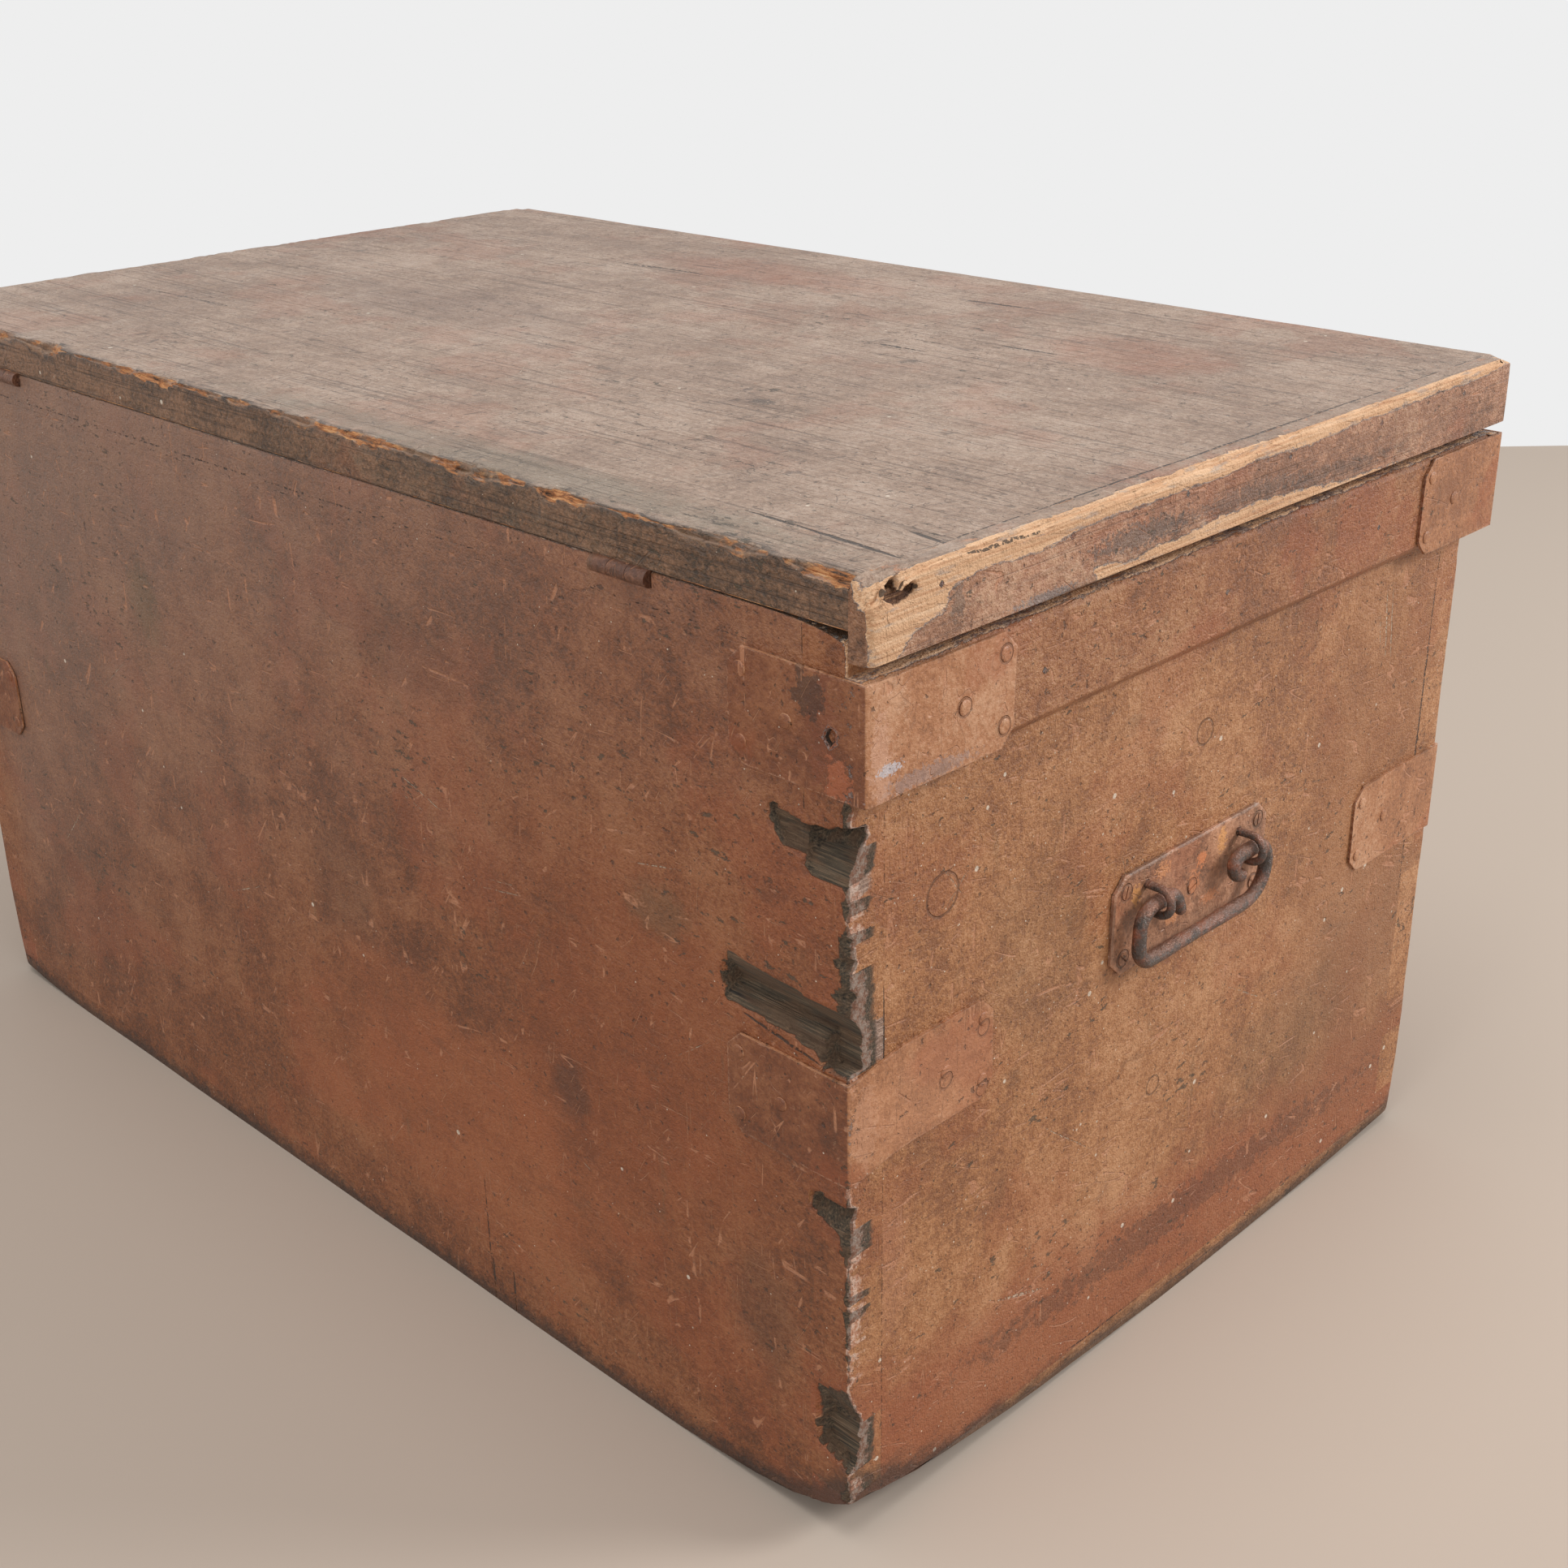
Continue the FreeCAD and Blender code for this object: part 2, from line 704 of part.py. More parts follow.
def handle_plate(end_name):
    """A plate with clipped corners and a chamfered rim."""
    body = doc.addObject("PartDesign::Body", end_name + "_handle_plate_blank")
    sketch = sketch_on(body, end_name + "_plate_outline", "x", -plate_face)
    reach = s.plate_length / 2
    low = s.plate_centre_height - s.plate_height / 2
    high = s.plate_centre_height + s.plate_height / 2
    clip = s.plate_clip
    outline(sketch, [
        (-reach + clip, low), (reach - clip, low), (reach, low + clip), (reach, high - clip),
        (reach - clip, high), (-reach + clip, high), (-reach, high - clip), (-reach, low + clip)])
    plate = pad(body, sketch, "x", s.plate_thick)
    middle = s.plate_centre_height
    rim = [(-plate_face, ZERO, low), (-plate_face, ZERO, high),
           (-plate_face, reach, middle), (-plate_face, -reach, middle)]
    for across in (-1, 1):
        for up in (-1, 1):
            rim.append((-plate_face, (reach - clip / 2) * across,
                        middle + (s.plate_height - clip) / 2 * up))
    dress(body, "Chamfer", plate, s.plate_chamfer, rim)
    return body


def eye(end_name, number, place):
    """A staple of wire: a half loop round the bail, two legs through the end, tips clenched over."""
    body = doc.addObject("PartDesign::Body", "%s_eye_%d" % (end_name, number))
    inner_face = -shoulder + s.eye_wire_radius
    clench_top = s.pivot_height + eye_radius + s.clench_bend + s.clench_length
    spine = sketch_on(body, "%s_eye_path_%d" % (end_name, number), "y", place)
    path = Path(spine, inner_face, clench_top, -90)
    leg = pivot_reach - shoulder + s.eye_wire_radius - s.clench_bend
    path.run(s.clench_length)
    path.bend(s.clench_bend, -90)
    path.run(leg)
    path.bend(eye_radius, 180)
    path.run(leg)
    path.bend(s.clench_bend, -90)
    path.run(s.clench_length)
    profile = sketch_on(body, "%s_eye_wire_%d" % (end_name, number), "z", clench_top)
    many_sided(profile, inner_face, place, s.eye_wire_radius, WIRE_SIDES)
    pipe(body, profile, spine)
    return body


def bail(end_name):
    """A bent rod: a straight stub at one end, a hooked tip at the other, both held by the eyes."""
    body = doc.addObject("PartDesign::Body", end_name + "_bail")
    spine = sketch_on(body, end_name + "_bail_path", "x", -pivot_reach)
    stub = bail_half - s.bail_top_bend - s.bail_stub_place
    leg = s.bail_drop - s.bail_top_bend - s.bail_foot_bend
    path = Path(spine, s.bail_stub_place, s.pivot_height, 0)
    path.run(stub)
    path.bend(s.bail_top_bend, -90)
    path.run(leg)
    path.bend(s.bail_foot_bend, -90)
    path.run(s.bail_span - s.bail_foot_bend * 2)
    path.bend(s.bail_foot_bend, -90)
    path.run(leg)
    path.bend(s.bail_top_bend, -90)
    path.run(bail_half - s.bail_top_bend - s.bail_hook_place)
    path.bend(s.bail_hook_bend, -SIZES["bail_hook_angle"])
    path.run(s.bail_hook_tip)
    profile = sketch_on(body, end_name + "_bail_rod", "y", s.bail_stub_place)
    many_sided(profile, -pivot_reach, s.pivot_height, s.bail_rod_radius, BAIL_SIDES)
    pipe(body, profile, spine)
    return body


end_fasteners = {}
for end_name in ("left", "right"):
    eyes = [eye(end_name, 1, s.eye_spacing / 2), eye(end_name, 2, -s.eye_spacing / 2)]
    screws = []
    for across, up in ((0, 0), (-1, -1), (-1, 1), (1, -1), (1, 1)):
        spot = (-plate_face, (s.plate_length / 2 - s.plate_screw_inset) * across,
                s.plate_centre_height + (s.plate_height / 2 - s.plate_screw_inset) * up)
        screws.append(wood_screw(spot, (1, 0, 0), s.plate_screw_head, s.plate_screw_shank,
                                 s.plate_thick, s.plate_screw_length))
    eye_group = bundle(end_name + "_eyes", eyes)
    screw_group = bundle(end_name + "_screws", screws)
    plate = handle_plate(end_name)
    grip = keep(end_name + "_bail", bail(end_name))
    if end_name == "right":
        for turned in (eye_group, screw_group, plate, grip):
            turned.Placement = HALF_TURN
    bored(end_name + "_handle_plate", plate, [eye_group, screw_group])
    end_fasteners[end_name] = [eye_group, screw_group]


# Groups of fasteners, and the carcass pieces that they pass through.
group("handle_eyes", [fasteners[0] for fasteners in end_fasteners.values()])
group("plate_screws", [fasteners[1] for fasteners in end_fasteners.values()])
group("plank_nails", plank_brads)
group("skirt_nails", skirt_brads)
group("strap_nails", strap_nails)
group("end_plugs", plugs)
group("hinge_pins", pins)
group("hinge_body_screws", body_screws)
bored("hinge_body_leaves", bundle("body_leaf_blanks", body_leaves), pin_bores + body_screws)
bored("bottom_planks", bundle("plank_blanks", planks), plank_brads)
frame_fasteners = [pieces["plank_nails"], pieces["skirt_nails"], pieces["strap_nails"]]
for name, blank in blanks.items():
    if name.startswith(("upper_strap", "middle_strap")):
        bored(name, blank, [pieces["strap_nails"]])
    elif name.startswith("skirt"):
        bored(name, blank, [pieces["skirt_nails"], pieces["strap_nails"]])
    elif name.startswith("back"):
        bored(name, blank, frame_fasteners + [pieces["hinge_body_screws"]])
    elif name.startswith("front"):
        bored(name, blank, frame_fasteners)
    elif name.startswith("left_end"):
        bored(name, blank, frame_fasteners + end_fasteners["left"] + [pieces["end_plugs"]])
    elif name.startswith("right_end"):
        bored(name, blank, frame_fasteners + end_fasteners["right"])


# Lid: boards edge to edge, rim strips nailed round the ends and the front.
lid_width = s.body_width + s.strip_gap
lid_board_width = lid_width / s.lid_board_count
lid_span = (lid_under, s.overall_height)
strip_base = s.overall_height - s.strip_height
strip_front = panel_front - s.strip_thick
strip_half = panel_half + s.strip_thick
lid_boards = []
lid_brads = []
for number in range(SIZES["lid_board_count"]):
    edge = panel_front + lid_board_width * number
    depth_span = (edge, edge + lid_board_width)
    lid_boards.append(block("lid_board", (-panel_half, panel_half), depth_span, lid_span))
    for share in (0.25, 0.75):
        for side in (-1, 1):
            spot = (strip_half * side, edge + lid_board_width * share, lid_under + s.lid_thick / 2)
            lid_brads.append(brad(spot, (-side, 0, 0), s.brad_length))
for share in (-0.9, -0.45, 0, 0.45, 0.9):
    spot = (panel_half * share, strip_front, lid_under + s.lid_thick / 2)
    lid_brads.append(brad(spot, (0, 1, 0), s.brad_length))


def rim_strip(name, x_span, y_span, spots):
    body = doc.addObject("PartDesign::Body", name + "_blank")
    sketch = sketch_on(body, name + "_outline", "z", strip_base)
    outline(sketch, [(x_span[0], y_span[0]), (x_span[1], y_span[0]),
                     (x_span[1], y_span[1]), (x_span[0], y_span[1])])
    strip = pad(body, sketch, "z", s.strip_height)
    if spots:
        dress(body, "Fillet", strip, s.strip_round, spots)
    return body


front_strip = rim_strip("lid_front_strip", (-strip_half, strip_half), (strip_front, panel_front),
                        [(ZERO, strip_front, s.overall_height)])
left_strip = rim_strip("lid_left_strip", (-strip_half, -panel_half), (panel_front, half_width), [])
right_strip = rim_strip("lid_right_strip", (panel_half, strip_half), (panel_front, half_width), [])

group("lid_strip_nails", lid_brads)
group("hinge_lid_screws", lid_screws)
lid_names = ["lid_front_board", "lid_middle_board", "lid_back_board"]
for number, board in enumerate(lid_boards):
    label = lid_names[number] if number < len(lid_names) else "lid_board_%d" % (number + 1)
    bored(label, board, [pieces["lid_strip_nails"], pieces["hinge_lid_screws"]])
for label, strip in (("lid_front_strip", front_strip), ("lid_left_strip", left_strip),
                     ("lid_right_strip", right_strip)):
    bored(label, strip, [pieces["lid_strip_nails"]])
bored("hinge_lid_leaves", bundle("lid_leaf_blanks", lid_leaves), pin_bores + lid_screws)

# Nothing is written unless every object is sound and every pocket has cut something.
doc.recompute()
for item in doc.Objects:
    if "Invalid" in item.State or "Error" in item.State:
        raise RuntimeError("%s failed: %s" % (item.Name, item.State))
for cut in cuts_to_check:
    before = cut.BaseFeature.Shape.Volume
    if cut.Shape.Volume >= before:
        raise RuntimeError("%s cuts nothing" % cut.Name)
for label, piece in pieces.items():
    if piece.Shape.isNull() or not piece.Shape.isValid() or not piece.Shape.Solids:
        raise RuntimeError("%s is not a sound solid" % label)

os.makedirs("parts", exist_ok=True)
for label, piece in pieces.items():
    piece.Shape.exportStep("parts/%s.step" % label)
print("%d nodes written" % len(pieces))
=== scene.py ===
import bmesh
import bpy
import itertools
import math
import numpy as np
from mathutils import Matrix, Vector
from mathutils.kdtree import KDTree


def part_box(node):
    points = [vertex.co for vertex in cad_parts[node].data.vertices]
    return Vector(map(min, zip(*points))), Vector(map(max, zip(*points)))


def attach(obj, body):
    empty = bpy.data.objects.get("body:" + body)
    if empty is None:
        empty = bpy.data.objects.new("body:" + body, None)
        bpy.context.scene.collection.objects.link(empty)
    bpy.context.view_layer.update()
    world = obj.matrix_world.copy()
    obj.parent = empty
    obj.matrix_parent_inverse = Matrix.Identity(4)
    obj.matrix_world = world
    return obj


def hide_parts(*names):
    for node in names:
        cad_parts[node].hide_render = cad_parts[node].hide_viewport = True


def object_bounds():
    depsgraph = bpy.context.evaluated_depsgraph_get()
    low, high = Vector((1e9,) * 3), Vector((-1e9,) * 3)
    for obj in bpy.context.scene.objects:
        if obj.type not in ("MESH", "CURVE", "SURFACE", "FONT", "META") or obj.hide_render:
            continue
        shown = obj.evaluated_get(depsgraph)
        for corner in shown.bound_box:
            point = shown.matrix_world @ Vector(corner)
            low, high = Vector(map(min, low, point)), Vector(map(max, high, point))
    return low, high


# A worn, brown-painted pine chest on a plain pale floor. Its wooden pieces are the frame's own
# boards, cut finer and worn down: rounded arrises, broken tails and a crushed foot at the near
# corner. Places on the object are in millimetres from the near bottom corner: u runs along the
# back, v runs across the end from the back to the front, and w runs up.

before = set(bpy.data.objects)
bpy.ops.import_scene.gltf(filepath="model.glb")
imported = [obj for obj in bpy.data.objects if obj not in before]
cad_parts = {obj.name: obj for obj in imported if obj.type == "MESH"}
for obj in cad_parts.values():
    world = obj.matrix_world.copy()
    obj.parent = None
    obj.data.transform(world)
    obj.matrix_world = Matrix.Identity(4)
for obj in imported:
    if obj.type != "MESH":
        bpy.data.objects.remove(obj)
cad_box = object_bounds()

MM = 0.001
END_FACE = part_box("left_end_lower_board")[0].x
BACK_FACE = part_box("back_lower_board")[1].y
LENGTH = -2 * END_FACE / MM
WIDTH = 2 * BACK_FACE / MM
BODY_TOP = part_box("left_end_upper_board")[1].z / MM
LID_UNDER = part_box("lid_back_board")[0].z / MM
LID_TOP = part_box("lid_back_board")[1].z / MM
STRIP_REACH = (END_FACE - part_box("lid_left_strip")[0].x) / MM
STRAP_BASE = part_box("upper_strap_back_left")[0].z / MM
COURSE_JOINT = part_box("left_end_lower_board")[1].z / MM
END_THICK = (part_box("left_end_lower_board")[1].x - END_FACE) / MM
BOARD_THICK = (BACK_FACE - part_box("back_lower_board")[0].y) / MM
SKIRT_HEIGHT = 58.5
# How far along the back the damage at the near corner goes, where the boards get finer cuts.
CORNER_REACH = 92
# Points this close, in metres, are one point.
WELD = 2e-6
# The width of the band that counts as near a sharp edge, and how sharp that edge is at least.
RIM_REACH, RIM_ANGLE = 4, 35
SOFT_EDGE = 0.35
NAIL_CROWN = 1.0
SCREW_RISE, SCREW_SINK = 0.7, 0.8


# Places and noise.

def spot(u, v, w):
    """A place on the object in metres, from millimetres."""
    return Vector((END_FACE + u * MM, BACK_FACE - v * MM, w * MM))


def to_measure(points):
    """Points in metres as (u, v, w) in millimetres."""
    return (points - (END_FACE, BACK_FACE, 0)) / (MM, -MM, MM)


def from_measure(points):
    return points * (MM, -MM, MM) + (END_FACE, BACK_FACE, 0)


def measured(place):
    """One place in metres as (u, v, w) in millimetres."""
    return to_measure(np.array(place))


def measured_box(name):
    """The lowest and the highest (u, v, w) of one of the frame's pieces."""
    corners = [measured(corner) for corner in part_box(name)]
    return np.minimum(*corners), np.maximum(*corners)


def hashed(cells, seed):
    """A fixed value from 0 to 1 for each cell of a lattice."""
    mixed = cells[..., 0] * 73856093 ^ cells[..., 1] * 19349663 ^ cells[..., 2] * 83492791
    mixed = (mixed ^ seed * 2654435761) & 0xFFFFFFFF
    mixed = (mixed ^ mixed >> 15) * 2246822519 & 0xFFFFFFFF
    mixed = (mixed ^ mixed >> 13) * 3266489917 & 0xFFFFFFFF
    return (mixed ^ mixed >> 16) / 0xFFFFFFFF


def wander(points, size, seed=0):
    """Smooth noise from -1 to 1 that changes over about size, which may differ by axis."""
    scaled = points / size
    cells = np.floor(scaled).astype(np.int64)
    part = scaled - cells
    part = part * part * (3 - 2 * part)
    total = 0
    for corner in itertools.product((0, 1), repeat=3):
        weight = np.prod(np.where(corner, part, 1 - part), axis=-1)
        total = total + weight * hashed(cells + corner, seed)
    return total * 2 - 1


def rough(points, size, seed=0):
    """Three octaves of noise, for torn and crumbled edges."""
    size = np.asarray(size, float)
    return (wander(points, size, seed) + wander(points, size / 2.3, seed + 1) / 2
            + wander(points, size / 5.1, seed + 2) / 4) / 1.5


def step_up(value, low, high):
    """0 below low, 1 above high, and smooth between them."""
    share = np.clip((value - low) / (high - low), 0, 1)
    return share * share * (3 - 2 * share)


def depth_inside(across, up, outline):
    """How far each point lies inside an outline; negative outside it."""
    count = len(outline)
    nearest = np.full(across.shape, 1e9)
    inside = np.zeros(across.shape, bool)
    for number in range(count):
        (x1, y1), (x2, y2) = outline[number], outline[(number + 1) % count]
        dx, dy = x2 - x1, y2 - y1
        share = np.clip(((across - x1) * dx + (up - y1) * dy) / (dx * dx + dy * dy), 0, 1)
        nearest = np.minimum(nearest, np.hypot(across - x1 - share * dx, up - y1 - share * dy))
        crosses = (y1 > up) != (y2 > up)
        inside ^= crosses & (across < x1 + dx * (up - y1) / (dy or 1e-9))
    return np.where(inside, nearest, -nearest)


# Outlines of the damage on the back near the corner, as (u, w).

TORN_STEP = [(50, 416), (39, 414), (26, 412), (25, 397), (41, 398), (48, 405)]
TORN_HOLLOW = [(28, 412), (12, 414), (-9, 420), (-9, 386), (6, 386), (23, 388), (27, 393), (26, 402)]
SPLINTER = [(80, 329), (67, 326), (34, 322), (11, 321), (-9, 319), (-9, 287), (13, 286),
            (24, 294), (42, 297), (66, 298), (83, 299), (85, 310), (82, 320)]
WEDGE = [(24, 214), (10, 213), (-9, 215), (-9, 192), (4, 194), (13, 198), (25, 203)]
TAIL_SLOPE = [(23, 93), (-9, 103), (-9, 84), (20, 78)]
TAIL_HOLLOW = [(21, 79), (-9, 86), (-9, 41), (6, 50), (21, 58), (23, 68)]
TORN_HOLE = [(9, 466), (5, 464), (4, 459), (8, 455), (13, 459)]

# Outlines on the end and on the lid strip above it, as (v, w).

SCUFFS = [[(-3, 420), (4, 417), (12, 407), (16, 386), (10, 380), (-3, 381)],
          [(-3, 312), (25, 311), (25, 288), (14, 290), (-3, 291)],
          [(-3, 215), (5, 213), (4, 196), (-3, 198)]]
ROTTEN_HOLE = [(6, 529), (11, 532), (15, 540), (20, 540), (21, 532), (27, 532), (32, 529), (30, 525),
               (24, 523), (17, 524), (11, 527)]
BARE_PATCH = [(-13, 530), (-4, 517), (-2, 506), (-2, 494), (18, 494), (21, 498), (31, 506),
              (41, 508), (52, 510), (53, 518), (58, 520), (67, 522), (80, 523), (101, 521),
              (118, 521), (151, 525), (200, 526), (259, 526), (287, 527), (342, 526), (403, 529),
              (463, 529), (525, 530), (560, 532), (560, 540), (-13, 540)]
LOW_PATCH = [(157, 506), (185, 503), (225, 504), (262, 507), (300, 507), (340, 504), (400, 500),
             (470, 497), (540, 495.5), (540, 490), (165, 490), (160, 497)]


def chip_depth(points):
    """Depth of what has broken off, at each (u, w) of the back near the corner."""
    u, w = points[:, 0], points[:, 2]
    flat = np.stack([u, np.zeros_like(u), w], -1)
    u_torn = u + 1.1 * rough(flat, 5, 11)
    w_torn = w + 0.8 * rough(flat, 6, 15)
    ridges = wander(flat, (70, 1, 3.2), 21) + 0.6 * wander(flat, (40, 1, 1.6), 22)

    def cavity(outline, depth, wall):
        edge = depth_inside(u_torn, w_torn, outline)
        return np.clip(edge / wall, 0, 1) * np.maximum(depth, 0.4)

    cavities = [
        cavity(TORN_STEP, 4.6 - 0.05 * (50 - u) + 0.3 * ridges, 0.8),
        cavity(TORN_HOLLOW, 1.5 + 12 * step_up(w, 386, 413) + 1.1 * ridges, 1.2),
        cavity(TAIL_SLOPE, 1 + 6.5 * step_up(-w, -100, -78) + 0.6 * ridges, 1.0),
        cavity(TAIL_HOLLOW, 10 - 4 * step_up(-w, -60, -44) + 1.5 * ridges, 1.0),
        cavity(WEDGE, 1 + 6.5 * step_up(w, 196, 214) + 0.6 * ridges, 1.0),
    ]
    # The splinter left a slope that deepens to a groove, with a lip of fibres below it.
    groove = 304 + 0.02 * u + 1.2 * wander(flat, (25, 1, 50), 31)
    slope = 1 + 11 * step_up(-w, -326, -groove - 0.5)
    lip = np.where(u < 16, 12, 4.2) - 1.2 * np.abs(ridges)
    below = step_up(groove - w, -0.5, 2.5)
    cavities.append(cavity(SPLINTER, slope * (1 - below) + lip * below + 0.35 * ridges, 1.3))
    return np.max(cavities, axis=0)


def arris_chips(points):
    """Small ragged losses along the near corner's arris, worst beside the splinter."""
    u, w = points[:, 0], points[:, 2]
    flat = np.stack([np.zeros_like(w), np.zeros_like(w), w], -1)
    worst = step_up(w, 316, 322) * step_up(-w, -372, -350)
    reach = (1.5 + 2.2 * rough(flat, 9, 41) + 1.0 * rough(flat, 2.6, 47)
             + worst * (3 + 4 * rough(flat, 6, 44)))
    reach += 2.2 * step_up(rough(flat, 16, 49), 0.25, 0.5) * step_up(-w, -215, -200)
    reach = reach * step_up(STRAP_BASE + 1 - w, 0, 4)
    return np.clip(reach - 0.75 * u, 0, None)


# Wear: every change moves points of the solid, so that neighbouring boards stay together.

def soften(points, low, high, radius):
    """Rounds the edges of the box from low to high; radius may differ from point to point."""
    reach = np.asarray(radius)[..., None] * np.ones(3)
    middle = np.clip(points, low + reach, high - reach)
    away = points - middle
    length = np.linalg.norm(away, axis=-1, keepdims=True)
    over = length > reach[..., :1]
    return np.where(over, middle + away / np.maximum(length, 1e-9) * reach, points)


def fold_to_near_corner(points):
    """The same places as if every bottom corner were the near one."""
    folded = points.copy()
    folded[:, 0] = np.minimum(points[:, 0], LENGTH - points[:, 0])
    folded[:, 1] = np.minimum(points[:, 1], WIDTH - points[:, 1])
    return folded


def foot_lift(points):
    """How far the worn underside has risen: much at the near corner, less at the others."""
    folded = fold_to_near_corner(points)
    near = (points[:, 0] < LENGTH / 2) & (points[:, 1] < WIDTH / 2)
    from_end, from_back = np.maximum(folded[:, 0], 0), np.maximum(folded[:, 1], 0)
    worn = np.where(near, 27, 9) * np.exp(-from_end / 45 - from_back / 100)
    flat = points * (1, 1, 0)
    return np.maximum(worn * (1 + 0.12 * rough(flat, 20, 51)) - 0.7, 0)


def worn_body(points):
    """The carcass after a century of knocks. Returns the new points and what each has lost."""
    u, v, w = points.T
    folded = fold_to_near_corner(points)
    near_foot = np.exp(-np.maximum(w, 0) / 22)
    radius = 1.7 + 0.9 * wander(points, 28, 61) + 0.6 * wander(points, 7, 62) + 7 * near_foot
    away_from_corner = np.hypot(folded[:, 0], folded[:, 1]) > 45
    radius = np.where(away_from_corner, np.minimum(radius, 2.4), radius)
    # The box goes on below the planks, so that the underside keeps its edges.
    low = np.array([0, 0, -60.0])
    high = np.array([LENGTH, WIDTH, BODY_TOP])
    new = soften(points, low, high, np.clip(radius, 0.5, None))
    # The back face near the corner is cut to the depth of each chip.
    here = u < CORNER_REACH + 3
    loss = np.zeros(len(points))
    loss[here] = np.maximum(chip_depth(points[here]), arris_chips(points[here]))
    cut = np.maximum(loss - new[:, 1], 0)
    new[:, 1] += cut
    lift = foot_lift(points)
    new[:, 2] += np.maximum(lift - new[:, 2], 0)
    # The rim sinks towards the near corner, where the lid has hammered it.
    drop = 6.5 * np.exp(-np.maximum(u, 0) / 16) * np.exp(-np.maximum(v, 0) / 30)
    new[:, 2] = np.minimum(new[:, 2], BODY_TOP - drop * (u < 120) * (v < 140))
    bulge = 0.35 * wander(points, 90, 64)
    new[:, 1] += np.where((v < 1) & (loss < 0.1), np.clip(0.2 + bulge, 0, 0.5), 0)
    rounding = np.linalg.norm(new - points, axis=-1) * (loss < 0.3) * (np.minimum(u, v) < 4)
    arris = np.exp(-np.hypot(np.maximum(folded[:, 0], 0), np.maximum(folded[:, 1], 0)) / 2.2)
    # The grime_and_shade mark darkens the foot and the near corner low down: partly soiled paint, partly
    # painted shade.
    height = np.maximum(new[:, 2] - lift, 0)
    corner = np.exp(-np.hypot(np.maximum(u, 0), np.maximum(v, 0)) / 30)
    scuff = np.zeros(len(points))
    on_end = u < 1
    for outline in SCUFFS:
        edge = depth_inside(v[on_end], w[on_end], outline)
        scuff[on_end] = np.maximum(scuff[on_end], np.clip(0.5 + edge / 5, 0, 1))
    return new, {
        "scuff": scuff,
        "broken": np.clip(cut / 1.1, 0, 1),
        "wear": np.clip(rounding / 0.9, 0, 1) * 0.5 * (w > 40) + 0.42 * arris,
        "rub": np.exp(-np.hypot(u, np.maximum(v - loss, 0)) / 2.4) * (w < 425),
        "grime_and_shade": np.clip(0.9 * np.exp(-height / 20) + 0.55 * corner * np.exp(-height / 40), 0, 1),
    }


